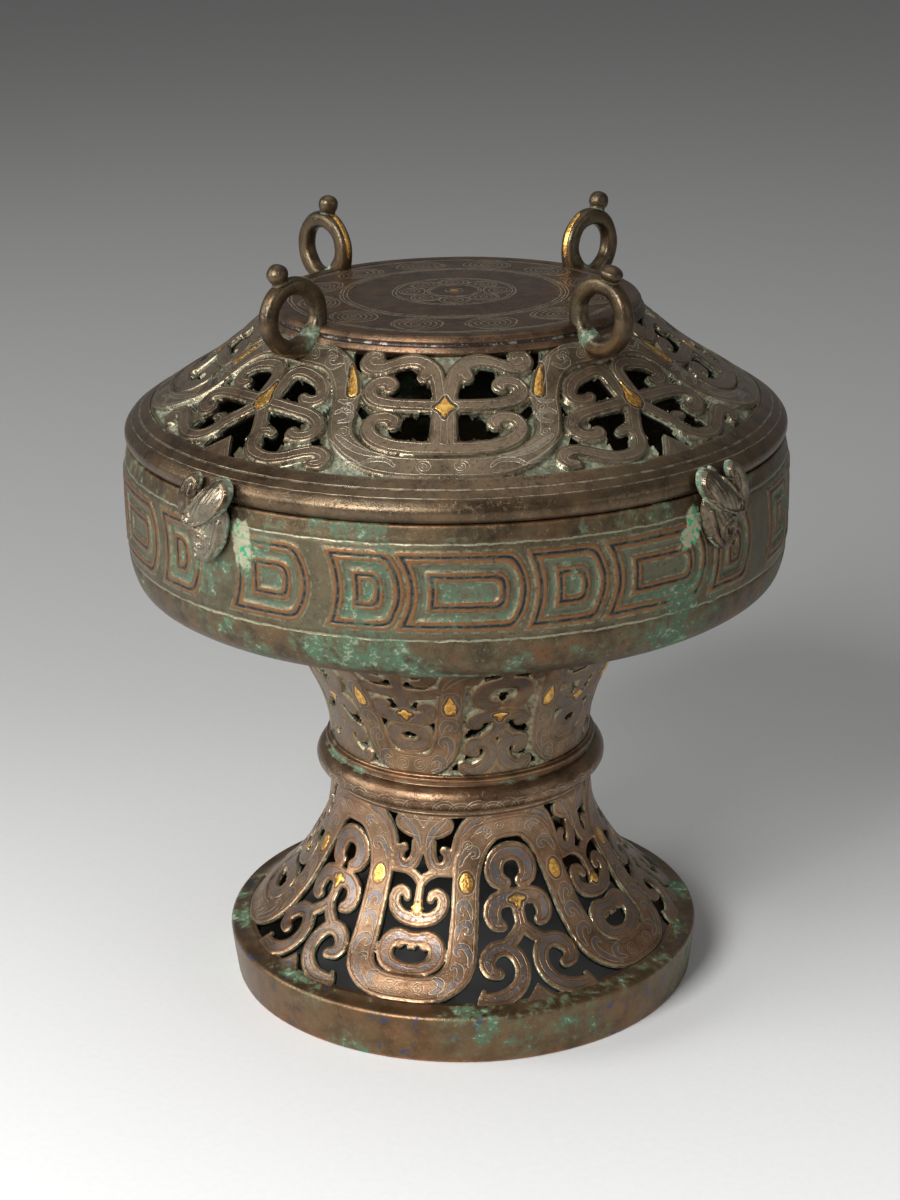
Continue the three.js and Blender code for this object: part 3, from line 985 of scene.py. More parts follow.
@dataclass(frozen=True)
class RimFinish:
    """Finish of the lid's border: smooth brown bronze with two thin silver lines."""

    metal: Bronze = Bronze("rim_bronze", brown=shade(110, 84, 60), dark=shade(70, 54, 40),
                           film=shade(106, 96, 76), film_share=0.5, copper=shade(138, 104, 76),
                           wear_share=0.5, green_share=0.1, rough=0.3)

    def material(self) -> bpy.types.Material:
        """Mixes the finish.

        Returns:
            The material.
        """
        mix = Recipe(self.metal.name)
        x, y, z = mix.axes()
        shake = mix.shake(12)
        high = mix.plus(z, shake, 0.5)
        outer = mix.rise(mix.reach(x, y), 120.9, 121.8)
        faded = mix.rise(mix.noise(5, 6, 0.74), 0.42, 0.58, 0.1, 0.8)
        silver = mix.times(mix.most(mix.line(high, 244.4, 0.34), mix.line(high, 242.1, 0.22)), outer)
        layers = [Layer(mix.times(silver, faded), shade(170, 158, 136))]
        crust = mix.most(mix.times(mix.kept("shelter"), 0.9), mix.rise(z, 246.2, 247.4, 0, 0.7))
        self.metal.lay(mix, layers, crust, mix.kept("wear"), mix.times(silver, -0.4))
        return mix.material


@dataclass(frozen=True)
class CollarFinish:
    """Finish of the collar: copper-brown bead with engraved waves, pale green in the channel above it."""

    metal: Bronze = Bronze("collar_bronze", brown=shade(134, 100, 72), dark=shade(94, 68, 48),
                           film_share=0.35, green=shade(88, 112, 90), pale=shade(140, 152, 126),
                           green_share=0.06, chalk=0.3, copper=shade(176, 124, 84), rough=0.3)
    waves: int = 30

    def material(self) -> bpy.types.Material:
        """Mixes the finish.

        Returns:
            The material.
        """
        mix = Recipe(self.metal.name)
        x, y, z = mix.axes()
        shake = mix.shake(10)
        turns = mix.plus(mix.turns(x, y), shake, 0.006)
        arcs = []
        for start in (0.0, 0.5):
            share = mix.less(mix.math("FRACT", mix.math("ADD", mix.times(turns, self.waves), start)), 0.5)
            along = mix.times(share, 12.0)
            far = mix.reach(along, mix.less(z, 90.2 + 1.5 * start))
            arcs += [mix.line(far, 5.0, 0.22), mix.line(far, 3.8, 0.18)]
        groove = mix.line(z, 88.6, 0.3)
        drawn = mix.most(mix.times(mix.most(*arcs), mix.between(z, 91, 97.0, 0.6)), groove)
        broken = mix.times(drawn, mix.rise(mix.noise(4, 4, 0.7), 0.42, 0.56, 0.08, 0.65))
        layers = [Layer(broken, shade(196, 176, 150))]
        crust = mix.most(mix.times(mix.kept("shelter"), 0.5),
                         mix.times(mix.between(z, 99.6, 102.0, 0.3), 0.6))
        self.metal.lay(mix, layers, crust, mix.kept("wear"), mix.times(drawn, -0.3))
        return mix.material


# Openwork


@dataclass(frozen=True)
class Ribbonwork:
    """The ribbons of one panel, half drawn: each stroke is a row of (degrees, length up the wall, width)."""

    periods: int
    centre: float
    low: float
    high: float
    band: Points
    panel: tuple[Points, ...]
    bay: tuple[Points, ...]
    teeth: tuple[Points, ...] = ()
    opened: tuple[Points, ...] = ()
    bay_opened: tuple[Points, ...] = ()
    swirls: tuple[Points, ...] = ()
    gold: tuple[Points, ...] = ()
    bay_gold: tuple[Points, ...] = ()
    plates: tuple[Points, ...] = ()
    grow: float = 0.0

    @property
    def half(self) -> float:
        """Degrees from a panel's middle to the next bay's middle."""
        return 180 / self.periods

    def inside(self, stroke: Points, u: np.ndarray, s: np.ndarray, scale: np.ndarray) -> np.ndarray:
        """Distance inside a stroke's edge: half its width there, less the distance to its middle line.

        Args:
            stroke: The stroke's points.
            u: Degrees from the stroke's own middle, as a column.
            s: Lengths up the wall.
            scale: Millimetres to a degree there.

        Returns:
            The greatest distance inside, over the stroke; negative outside.
        """
        p = spline(np.array(stroke, float), 8)
        a, b = p[:-1], p[1:]
        ax, bx = a[None, :, 0] * scale[:, None], b[None, :, 0] * scale[:, None]
        dx, ds = bx - ax, b[None, :, 1] - a[None, :, 1]
        px, ps = (u * scale)[:, None] - ax, s[:, None] - a[None, :, 1]
        t = np.clip((px * dx + ps * ds) / np.maximum(dx * dx + ds * ds, 1e-9), 0, 1)
        gap = np.hypot(px - t * dx, ps - t * ds)
        width = a[None, :, 2] + (b[None, :, 2] - a[None, :, 2]) * t
        return np.max(width / 2 - gap, axis=1)

    def fields(self, u: np.ndarray, s: np.ndarray, scale: np.ndarray) -> dict[str, np.ndarray]:
        """Works out how far inside the ribbons each point of half a panel lies.

        Args:
            u: Degrees from the panel's middle.
            s: Lengths up the wall.
            scale: Millimetres to a degree there.

        Returns:
            Distances inside "band" and "scroll", inside the "frame" along both rims, inside the sunken
            "ground", and inside the "swirl" and "gold" inlays.
        """
        bay = self.half - u
        band = np.max([self.inside(k, u, s, scale) for k in (self.band, *self.plates)], axis=0)
        scroll = np.max([self.inside(k, u, s, scale) for k in self.panel]
                        + [self.inside(k, bay, s, scale) for k in self.bay], axis=0) + self.grow
        for tooth in self.teeth:
            (foot_u, foot_s), (tip_u, tip_s) = tooth
            share = (s - foot_s) / (tip_s - foot_s)
            side = (foot_u * (1 - share) - (bay - tip_u)) * scale * 0.8
            scroll = np.maximum(scroll, np.minimum(side, (tip_s - s)))
        rims = np.maximum(self.low + 0.7 - s, s - self.high + 0.7)
        opened = np.max([self.inside(k, u, s, scale) for k in self.opened]
                        + [self.inside(k, bay, s, scale) for k in self.bay_opened] + [rims - 50], axis=0)
        ground = -opened if self.opened else rims - 50
        swirl = np.max([self.inside(k, u, s, scale) for k in self.swirls] + [rims - 50], axis=0)
        gold = np.max([self.inside(k, u, s, scale) for k in self.gold]
                      + [self.inside(k, bay, s, scale) for k in self.bay_gold], axis=0)
        return {"band": band, "scroll": scroll, "frame": rims, "ground": ground, "swirl": swirl,
                "gold": gold}


@dataclass
class Openwork:
    """A pierced wall: ribbons cast in one sheet, rounded at their edges, with open gaps between them."""

    name: str
    node: str
    body: Body
    profile: Profile
    work: Ribbonwork
    thickness: float
    finish: bpy.types.Material
    ribbon_drop: float = 0.35
    ground_drop: float = 1.6
    gold_nodes: tuple[str, ...] = ()

    def grid(self) -> tuple[np.ndarray, np.ndarray, dict[str, np.ndarray]]:
        """Lays a grid over one panel from bay to bay and works out its fields.

        Returns:
            Degrees from the panel's middle, lengths up the wall, and the fields, all rows by columns.
        """
        w = self.work
        middle, _, _, _ = self.profile.at(np.array([(w.low + w.high) / 2]))
        half_columns = int(round(math.radians(w.half) * middle[0] / CELL))
        rows = int(round((w.high - w.low) / CELL))
        u = np.linspace(0, w.half, half_columns + 1)
        s = np.linspace(w.low, w.high, rows + 1)
        ss, uu = np.meshgrid(s, u, indexing="ij")
        r, _, _, _ = self.profile.at(ss)
        scale = np.radians(1) * r
        found = w.fields(uu.ravel(), ss.ravel(), scale.ravel())
        fold = np.abs(np.arange(-half_columns, half_columns + 1))
        fields = {k: v.reshape(uu.shape)[:, fold] for k, v in found.items()}
        fields["scale"] = scale[:, fold]
        side = np.linspace(-w.half, w.half, 2 * half_columns + 1)
        return np.broadcast_to(side, (rows + 1, len(side))).copy(), ss[:, fold].copy(), fields

    def snap(self, u: np.ndarray, s: np.ndarray, field: np.ndarray,
             scale: np.ndarray) -> tuple[np.ndarray, ...]:
        """Keeps the cells inside a field and moves their border onto its edge, along the field's slope.

        Args:
            u: Degrees from the panel's middle.
            s: Lengths up the wall.
            field: Distance inside the metal.
            scale: Millimetres to a degree.

        Returns:
            Which cells stand, which points are on the border, and the moved degrees and lengths.
        """
        keep = standing(field)
        border = bordered(np.pad(np.pad(keep, ((1, 1), (0, 0))), ((0, 0), (1, 1)), mode="wrap"))
        border[0] = border[-1] = False
        step_s = s[1, 0] - s[0, 0]
        step_u = (u[0, 1] - u[0, 0]) * scale
        up, across = np.gradient(field)
        up, across = up / step_s, across / step_u
        across[:, [0, -1]] = 0
        slope = np.maximum(up**2 + across**2, 0.2)
        move_s, move_x = -field * up / slope, -field * across / slope
        far = np.maximum(np.hypot(move_s, move_x) / (0.72 * CELL), 1)
        moved_s = s + np.where(border, move_s / far, 0)
        moved_u = u + np.where(border, move_x / far / scale, 0)
        return keep, border, moved_u, moved_s

    def depth(self, edge: np.ndarray, f: dict[str, np.ndarray]) -> np.ndarray:
        """Depth of the outer face: ribbons round off at their edges and scrolls lie lower.

        Args:
            edge: Distance inside the ribbons.
            f: The panel's fields.

        Returns:
            Millimetres below the wall's face.
        """
        lane = ramp(f["band"] - f["scroll"], -0.4, 0.2)
        rounding = np.clip(edge / 0.6, 0, 1)
        depth = 0.4 * (1 - np.sqrt(1 - (1 - rounding) ** 2)) + self.ribbon_drop * (1 - lane)
        depth += self.ground_drop * ramp(-edge, 0.0, 0.6) * (f["ground"] > 0)
        return np.where(f["frame"] > 0, np.maximum(depth, 0.45), depth)

    def build(self, gold: bpy.types.Material) -> list[bpy.types.Object]:
        """Makes one pierced piece for each panel, and one piece of all the wall's gold.

        Args:
            gold: Finish of the gold.

        Returns:
            The pieces: one for each panel, then one of the gold.
        """
        u, s, f = self.grid()
        ribbon = np.maximum(np.maximum(f["band"], f["scroll"]), f["frame"])
        keep, border, at_u, at_s = self.snap(u, s, np.maximum(ribbon, f["ground"]), f["scale"])
        edge = np.where(border & (ribbon > -1), np.minimum(ribbon, 0), ribbon)
        depth = self.depth(edge, f)
        values = {
            "edge": edge, "lane": ramp(f["band"] - f["scroll"], -0.4, 0.2) * (f["frame"] < 0),
            "across": at_u * f["scale"], "rise": at_s, "swirl": f["swirl"], "gilt": f["gold"],
            "sunk": ramp(-edge, 0.1, 0.7),
        }
        leaf, _, gold_u, gold_s = self.snap(u, s, f["gold"], f["scale"])
        plate = depth - 0.22 * ramp(f["gold"], -0.1, 0.7)
        made, gilding = [], None
        for k in range(self.work.periods):
            turn = self.work.centre + 360 / self.work.periods * k
            outer = self.profile.place(turn + at_u, at_s, depth)
            inner = self.profile.place(turn + at_u, at_s, np.full_like(depth, self.thickness))
            mesh = shell(outer, inner, keep, values)
            made.append(mesh.piece(f"{self.name}_{k + 1}", self.finish, self.body, Metal.BRONZE))
            top = self.profile.place(turn + gold_u, gold_s, plate)
            base = self.profile.place(turn + gold_u, gold_s, depth + 0.4)
            sheet = shell(top, base, leaf, {})
            gilding = sheet if gilding is None else gilding.joined(sheet)
        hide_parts(self.node)
        leaves = gilding.piece(f"{self.name}_gold", gold, self.body, Metal.GOLD)
        if self.gold_nodes:
            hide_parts(*self.gold_nodes)
        return made + [leaves]


LID_PROFILE = Profile((
    (131.3, 236), (131.6, 238), (129.3, 242), (122.7, 246), (113.4, 252), (100.6, 260), (90, 268),
    (80.5, 276), (74.9, 281), (72, 286),
))
FOOT_PROFILE = Profile((
    (99.4, 0.5), (99.4, 20.5), (92.4, 22.4), (84, 30), (75.5, 38), (69, 46), (64, 54), (59.5, 62),
    (56.5, 70), (55, 78), (54.8, 84), (55.2, 90),
))
STEM_PROFILE = Profile((
    (54.3, 103), (54.4, 107), (54.9, 113), (56.2, 119), (58.4, 126), (61.4, 133), (65.8, 142), (71, 150),
    (77.5, 157.5), (84.4, 164),
))

LID_WORK = Ribbonwork(
    periods=4,
    centre=-2.5,
    low=16.6,
    high=75.4,
    band=((0, 22.1, 9.8), (8, 22.3, 10), (13.6, 24.8, 9.8), (18.6, 30.6, 9.2), (21.3, 37, 9.2),
          (22.7, 45, 10), (23.6, 53, 10.8), (25.8, 60, 10.8), (29.4, 65.6, 10.4), (34, 68.6, 10.6),
          (39, 69.4, 11), (45, 69.4, 11)),
    panel=(
        ((0.8, 52, 5), (1.3, 57, 5), (1.9, 62, 5.2), (3.1, 66.6, 5.6), (5.8, 70.0, 5.4), (9.5, 71.0, 5.2),
         (13.5, 69.4, 5), (17.2, 66.9, 5), (20.2, 66.7, 5), (22.1, 68.9, 4.8), (21.6, 71.6, 4.6),
         (19.6, 72.2, 4.2), (18.8, 71.2, 3.6)),
        ((4.6, 66.2, 5.6), (5.4, 64.2, 5)),
        ((0, 51.4, 5), (8, 51.4, 5), (13.5, 51.6, 5), (17, 53.2, 5), (18.6, 56.6, 5), (17.6, 60.2, 5),
         (15, 61.4, 5), (13.3, 60, 4.6), (13.7, 58.4, 3.6)),
        ((0, 31.4, 6.2), (6, 31.6, 6.2), (10.5, 32.6, 6), (14.2, 35.6, 5.6), (16, 40.2, 5.2),
         (15.2, 44.2, 5.2), (12.8, 45.5, 5), (10.8, 44.2, 4.8), (10.8, 42.2, 3.8)),
        ((1.3, 33, 4.4), (1.3, 45, 4.4), (1.3, 57, 3.4)),
    ),
    bay=(
        ((1.7, 45, 5), (1.9, 54, 5), (2.4, 58.8, 5), (4.6, 61, 5), (8, 60.6, 5), (12, 58.4, 5),
         (14.3, 55, 5), (14.9, 51.8, 5), (13.6, 49.6, 4.8), (11.4, 49.2, 4.4), (10.2, 50.2, 3.6)),
        ((1.5, 45.3, 5), (6, 44.9, 4.8), (11, 44.3, 4.8), (15, 43, 4.8), (17.4, 40.5, 4.8),
         (18.1, 37.4, 4.8), (17.2, 34.2, 4.8), (15, 32.6, 4.6), (13.2, 33.2, 4.2), (13, 34.8, 3.4)),
        ((0.5, 44, 5), (2.6, 39, 5), (4.4, 34, 5), (5.4, 30, 5), (6.2, 25.5, 5), (8.2, 21.9, 5),
         (11.4, 20.6, 5), (14.5, 22, 5), (17.5, 25, 5), (20, 26.8, 5), (22.1, 26, 4.8), (23, 23.6, 4.6),
         (22.3, 21.4, 4.2), (20.9, 20.9, 3.4)),
        ((5.8, 29, 3.6), (6.3, 32, 3.6), (7.6, 32.9, 3.4), (8.8, 32.2, 3)),
    ),
    teeth=(((3.6, 17), (0, 26.5)),),
    opened=(
        ((5, 57, 7), (9, 57.6, 8), (12, 57, 5)), ((7, 62, 7), (10.5, 64.5, 8)),
        ((4.5, 37.6, 5), (4.5, 46.4, 5)), ((7.6, 38.4, 6), (7.4, 45, 5)), ((9, 38, 5), (10.4, 39.6, 4)),
        ((17.4, 45.8, 4), (19.4, 48.8, 3.0)), ((23.6, 66, 2.4), (25, 70.6, 4), (26, 73.2, 4)),
        ((12.5, 73.4, 1.8), (16.4, 72.4, 3)),
    ),
    bay_opened=(
        ((4.4, 50, 6), (4.2, 56, 5)), ((8, 51.6, 8), (8, 56, 7)), ((11, 53.4, 6), (12.6, 52.4, 4)),
        ((5, 39.4, 4.5), (9.6, 38.4, 6), (12.8, 38.2, 5)), ((9, 34, 10), (10.4, 28, 9), (11.4, 25, 6)),
        ((0, 42, 2), (0, 38, 6), (0, 30, 14), (0, 20, 18)), ((18.0, 44.6, 3), (18.6, 47.6, 2.4)),
        ((18.4, 33.6, 3.8), (19.8, 30.4, 3)),
    ),
    swirls=(
        ((8.6, 22.2, 0.8), (10.2, 24.6, 1.5), (13, 24.4, 1.6), (14.6, 22.2, 1.2)),
        ((10.4, 26.6, 0.8), (14, 27.4, 2.0), (17.4, 29.6, 2.4), (20, 32.6, 2.0), (21.6, 34.6, 1.0)),
        ((15.4, 22.6, 0.8), (18.6, 25.4, 1.9), (21.4, 29.2, 2.2), (23.4, 33, 1.2)),
        ((22.6, 41, 1.0), (20.6, 42.6, 1.8), (20.8, 45.2, 2.0), (22.8, 46.6, 1.6), (24.2, 45, 1.0)),
        ((24.8, 50.6, 0.8), (22.6, 50.4, 1.8), (21.8, 52.6, 2.0), (22.6, 56.4, 2.4), (24.2, 60.6, 2.4),
         (26.2, 65, 2.0), (28.6, 69.6, 1.2)),
        ((29, 66.2, 1.2), (31.2, 64.6, 1.8), (33.4, 66.2, 1.8), (33.2, 68.8, 1.4), (31.4, 69.4, 0.9)),
        ((33, 72.6, 0.9), (36, 73.2, 1.7), (39.6, 72.6, 1.5), (42, 73.4, 0.9)),
    ),
    gold=(((-2.3, 50.4, 0.3), (-1.2, 50.4, 2.5), (0, 50.4, 4.4), (1.2, 50.4, 2.5), (2.3, 50.4, 0.3)),
          ((0, 45.8, 0.3), (0, 48, 2.3), (0, 50.4, 4.4), (0, 52.7, 2.3), (0, 54.8, 0.3)),
          ((22.3, 54.8, 3.5), (22.9, 57.4, 3.3), (23.8, 61, 2.6), (25.5, 66.6, 0.6))),
    bay_gold=(((0, 40.8, 0.5), (0, 43, 4.2), (0, 44.8, 6.2), (0, 47.4, 3.6), (0, 50.4, 1.8),
               (0, 53.6, 0.4)),),
    grow=0.4,
)
FOOT_WORK = Ribbonwork(
    periods=5,
    centre=-16.2,
    low=27.0,
    high=104.6,
    band=((0, 33.8, 10.6), (6, 34, 10.8), (10.5, 36, 11.4), (14, 40.4, 12), (15.6, 46.5, 12),
          (16.1, 54, 11.8), (16.7, 62, 11.4), (17.2, 72, 11), (17.8, 80, 11), (19.4, 87, 11.4),
          (22.6, 93, 11), (27.4, 97.6, 10.6), (32, 99, 10.2), (36, 99.2, 10.2)),
    panel=(
        ((2.6, 92.5, 5), (2.9, 88, 5), (4.4, 84.2, 5), (7.4, 82.6, 5), (10.4, 84.4, 5), (10.8, 88, 4.6),
         (8.8, 89.8, 3.4)),
        ((13.6, 90, 4), (15.2, 95.4, 4.2), (19.4, 100.8, 5.4), (24, 103, 6)),
        ((0, 76.8, 3.8), (2.6, 79.6, 3.6), (6.4, 81, 3), (11.4, 81.2, 3.4)),
        ((0, 77.6, 3.4), (0, 72, 3.2), (0, 67, 4.2), (0, 64.4, 5.4)),
        ((4.4, 70.4, 3.2), (5, 72.2, 3.6), (7, 73.2, 4.2), (9, 71, 4.8), (8.7, 66.6, 5), (5.6, 63.2, 5.6),
         (1.4, 62, 5.8), (0, 62, 5.8)),
        ((0, 54.2, 5.8), (2, 54.4, 6), (4.9, 54.8, 6.8), (7.4, 52.6, 7.2), (8.2, 48.4, 7.2),
         (6.6, 44.2, 6.6), (3.4, 42.2, 5.8), (0, 41.4, 5.6)),
        ((0, 51.2, 1.6), (0.8, 50.6, 1.2)), ((3.6, 51.4, 2.4), (4.2, 50.8, 2)),
    ),
    bay=(
        ((0, 88.4, 7.2), (3.4, 87.6, 7.4), (6, 85.4, 7.6), (7.2, 81.8, 7.8), (6.4, 78, 7), (3.4, 76.2, 5)),
        ((0, 69.4, 8.4), (3.9, 70.4, 7.4), (8, 68.6, 7.2), (9.6, 64.6, 7.2), (8.8, 60.8, 6.2),
         (6.9, 59.4, 4.6)),
        ((0, 66, 5.2), (0, 61.7, 4.6), (0, 58.4, 5.4)),
        ((0.6, 58.6, 4.6), (2, 56, 5), (4.2, 53.4, 5.2), (6.4, 51.4, 5.2)),
        ((10.2, 40.2, 4.8), (12.4, 41.6, 5.8), (13, 45.6, 6.4), (10.6, 49.8, 6.6), (6.8, 50.6, 6.4),
         (3.9, 47.2, 6.2), (3, 41.4, 6.2), (4.4, 35.6, 6.2), (7.4, 31.8, 6.2), (11, 30.2, 5.8),
         (14.4, 30.4, 4.8)),
        ((15.8, 27.4, 2.4), (15.4, 30.6, 2.2), (14.6, 33.6, 1.4)),
    ),
    teeth=(((4.4, 27.3), (0, 34.6)),),
    swirls=(
        ((7.4, 32.6, 0.9), (9.6, 34.4, 2.2), (9.8, 37.2, 2.4), (8, 38.4, 1.4)),
        ((9.6, 31.6, 0.8), (12.6, 35, 2.2), (14.8, 39, 2.6), (15, 43, 2.2), (13.4, 44.4, 1.4),
         (12.6, 42.6, 0.9)),
        ((17.6, 43.4, 0.8), (18, 47.6, 2.2), (17, 51, 2.6), (14.8, 52, 2.2), (13.6, 49.8, 1.6),
         (14.6, 48, 0.9)),
        ((13.8, 54.6, 0.8), (14.4, 58.6, 2.2), (16.2, 61.2, 2.6), (18.4, 60.2, 2.2), (18.2, 57.4, 1.6),
         (16.8, 57, 0.9)),
        ((19, 63, 0.8), (18.4, 67, 2.0), (16.6, 69.6, 2.4), (14.6, 68.2, 2.0), (14.6, 65.8, 1.4),
         (15.8, 65, 0.9)),
        ((15.2, 84.4, 0.9), (16.6, 88, 2.0), (19.4, 91, 2.4), (22.2, 90.2, 2.0), (22, 87.8, 1.4),
         (20.4, 87.4, 0.9)),
        ((22, 97.6, 0.8), (25.2, 99.2, 1.8), (27.8, 97.2, 1.6), (26.2, 95.4, 0.9)),
        ((1.4, 90.6, 0.8), (2.8, 95.4, 1.9), (5.4, 99.6, 2.3), (9.2, 103.2, 1.4)),
        ((0.2, 99.8, 0.5), (1.8, 102, 0.6), (3.6, 104.2, 0.6)),
    ),
    plates=(((0, 99.4, 10.4), (5, 99.6, 10.2), (8.4, 100.4, 8.6)), ((0, 92, 5), (0, 98, 6))),
    gold=(((17.6, 75.6, 4.2), (17.6, 77.4, 5.2), (17.6, 79.4, 3.6)),
          ((0, 64.6, 0.6), (0, 66.0, 3.4), (0, 67.2, 3.0),
           (0, 68.6, 0.6)), ((-1.9, 66.6, 1.2), (0, 66.4, 2.4), (1.9, 66.6, 1.2))),
    bay_gold=(((-2.5, 69.2, 1.2), (0, 69.4, 2.6), (2.5, 69.2, 1.2)),
              ((0, 69.4, 3.2), (0, 67.4, 2.2), (0, 65.4, 0.6))),
    grow=0.1,
)
STEM_WORK = Ribbonwork(
    periods=5,
    centre=-20.9,
    low=0.7,
    high=69.4,
    band=((0, 5.6, 10), (6, 5.7, 10), (10.6, 7.6, 10), (14, 12, 10.4), (15.6, 18, 10.8), (16.4, 26, 10.8),
          (17, 34, 10.6), (17.6, 42, 10.6), (18.4, 50, 10.6), (20.4, 57, 10.4), (24.5, 62, 10),
          (30, 64.6, 9), (36, 65.2, 8.6)),
    panel=(
        ((0, 23, 3), (2.6, 22.4, 4.4), (5.4, 21.6, 5.2), (6.8, 18.6, 5.6), (5.6, 15.6, 5.6), (2.8, 14, 5.6),
         (0, 13.8, 5.6)),
        ((0, 28, 6), (5, 28, 6.4), (9.2, 29.6, 6.6), (10.4, 33, 5.8), (8.6, 35, 4.4), (7.2, 34.4, 3.4)),
        ((0, 31, 5), (0, 34, 4), (0, 37, 5), (0, 50, 4), (0, 69, 5)),
        ((0, 43, 5), (5, 42, 5), (10, 42.6, 5), (13, 44, 5)),
        ((0, 58, 5), (4, 56.4, 5), (8.4, 56.6, 5), (11, 53.6, 5), (9.6, 50, 4.6), (6.6, 49.4, 4)),
        ((14, 68, 5), (9, 66.6, 5), (5, 63.6, 4.6), (4.4, 60.6, 4)),
    ),
    bay=(
        ((9.4, 11.2, 3.4), (11.2, 12.6, 4.2), (10.4, 15.2, 5), (7.6, 16, 5.2), (3.6, 15, 5.4),
         (2, 11.4, 5.6), (3.4, 7, 5.6), (6.6, 4, 5.6), (11, 3.2, 4.6), (14, 5, 3.6)),
        ((0, 30.2, 6), (4.5, 29.8, 6.2), (8.6, 28.2, 6), (9.8, 25.8, 5), (8.6, 24.8, 3.8)),
        ((0, 28, 5), (0, 23.5, 4.6), (1.8, 20, 4.4), (4.5, 17.6, 4.6)),
        ((2.4, 36, 4.4), (5.4, 36, 5.4), (7.2, 38.4, 6), (7.9, 42.4, 6), (6.4, 46.6, 6), (3.2, 48.6, 6),
         (0, 49.2, 6)),
        ((0, 49, 5), (0, 56, 4.6), (3, 58.6, 4.6), (7, 58, 4.6), (10, 55, 4.6), (11, 51, 4.4)),
    ),
    opened=(
        ((0, 23, 2.8), (0.8, 20.6, 4.6), (1.2, 18.8, 3)), ((4.4, 33.8, 3), (5.4, 36, 2.4)),
        ((10.2, 24.8, 2.8), (11, 22.8, 2)), ((6.6, 52.4, 3), (9, 54, 3)), ((3.4, 47, 3), (9, 46.6, 3)),
    ),
    bay_opened=(
        ((0, 40.8, 3.8), (0, 37.4, 2)), ((5, 24.8, 2.6), (8, 22.6, 4.6), (11.4, 19.6, 3.6)),
        ((0, 18.3, 2.6), (0, 17.4, 2)), ((7.2, 11.4, 2.8), (10, 10.2, 3.2), (12.6, 8.8, 1.8)),
        ((15.6, 5.4, 2.8), (18, 4, 1.8)), ((3, 53, 4), (6, 52, 4)),
    ),
    teeth=(((4.4, 1), (0, 6.2)),),
    swirls=(
        ((9, 3.2, 0.8), (12.4, 4, 2.2), (13.6, 7.4, 2.6), (11.4, 9.4, 2.0), (9.4, 8, 1.2)),
        ((15, 8.4, 0.8), (17, 13, 2.2), (16.6, 17.4, 2.8), (14, 18.6, 2.4), (12.8, 16.2, 1.6),
         (14.2, 14.6, 0.9)),
        ((13.4, 21, 0.8), (14, 24.6, 2.2), (16, 27.4, 2.8), (18.6, 26.4, 2.4), (18.6, 23.6, 1.6),
         (17, 23, 0.9)),
        ((19.6, 29.4, 0.8), (20, 33.6, 1.6), (20.4, 38, 2.2), (19.4, 42.6, 2.6), (16.6, 43.4, 2.0),
         (15.6, 41, 1.2)),
        ((15.6, 46.6, 0.8), (17.6, 51, 2.2), (21, 55.4, 2.6), (24.6, 57, 2.0), (25.6, 59.6, 1.2)),
        ((24, 65, 0.8), (27.6, 66.6, 2.0), (31, 65.4, 2.0), (31, 63, 1.2)),
    ),
    gold=(((17.5, 41.6, 0.5), (17.5, 38.6, 2.4), (17.4, 35.4, 4.6), (17.4, 33.4, 4.0)),
          ((0, 31.4, 2.2), (0, 29.8, 3.0),
           (0, 27.4, 0.8)), ((-2.3, 30.2, 1.4), (0, 29.9, 2.4), (2.3, 30.2, 1.4))),
    bay_gold=(((-2.1, 30.0, 1.2), (0, 29.8, 2.2), (2.1, 30.0, 1.2)),
              ((0, 29.8, 2.6), (0, 28.2, 1.8), (0, 26.9, 0.6))),
    grow=0.6,
)


# Turned parts


def turn_angles(step: float, start: float = 0.0, end: float = 360.0) -> np.ndarray:
    """Angles from start to end at about a step, in degrees."""
    return np.linspace(start, end, int(round((end - start) / step)) + 1)


@dataclass(frozen=True)
class FootRing:
    """The plain band that the vessel stands on, with a ledge under the openwork."""

    corners: tuple[Corner, ...] = (
        Corner(97.0, 0, 0.7), Corner(98.2, 10, 3), Corner(99.2, 19.4, 1.2), Corner(98.2, 20.7, 0.8),
        Corner(94.0, 21.2, 1.5), Corner(91.9, 22.2, 0.3), Corner(89.4, 22.2, 0.3), Corner(89.6, 18, 2),
        Corner(91.2, 12, 2), Corner(91.2, 0, 0.5),
    )
    finish: Bronze = Bronze("foot_ring_bronze", brown=shade(130, 92, 62), dark=shade(84, 66, 46),
                            film=shade(118, 106, 80), film_share=0.6, green=shade(70, 104, 78),
                            pale=shade(146, 166, 138), green_share=0.5, chalk=0.3, azurite=1.0,
                            copper=shade(176, 112, 74), wear_share=0.9, speckle=0.4, rough=0.36)

    def build(self) -> list[bpy.types.Object]:
        """Makes the ring.

        Returns:
            Its piece.
        """
        mesh = turned(Section(self.corners), turn_angles(3.0))
        mesh.values["shelter"] = mesh.values["shelter"] * 0.2
        piece = mesh.piece("foot_band", self.finish.worn(), Body.BASE, Metal.BRONZE, 60)
        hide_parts("foot_ring")
        return [piece]


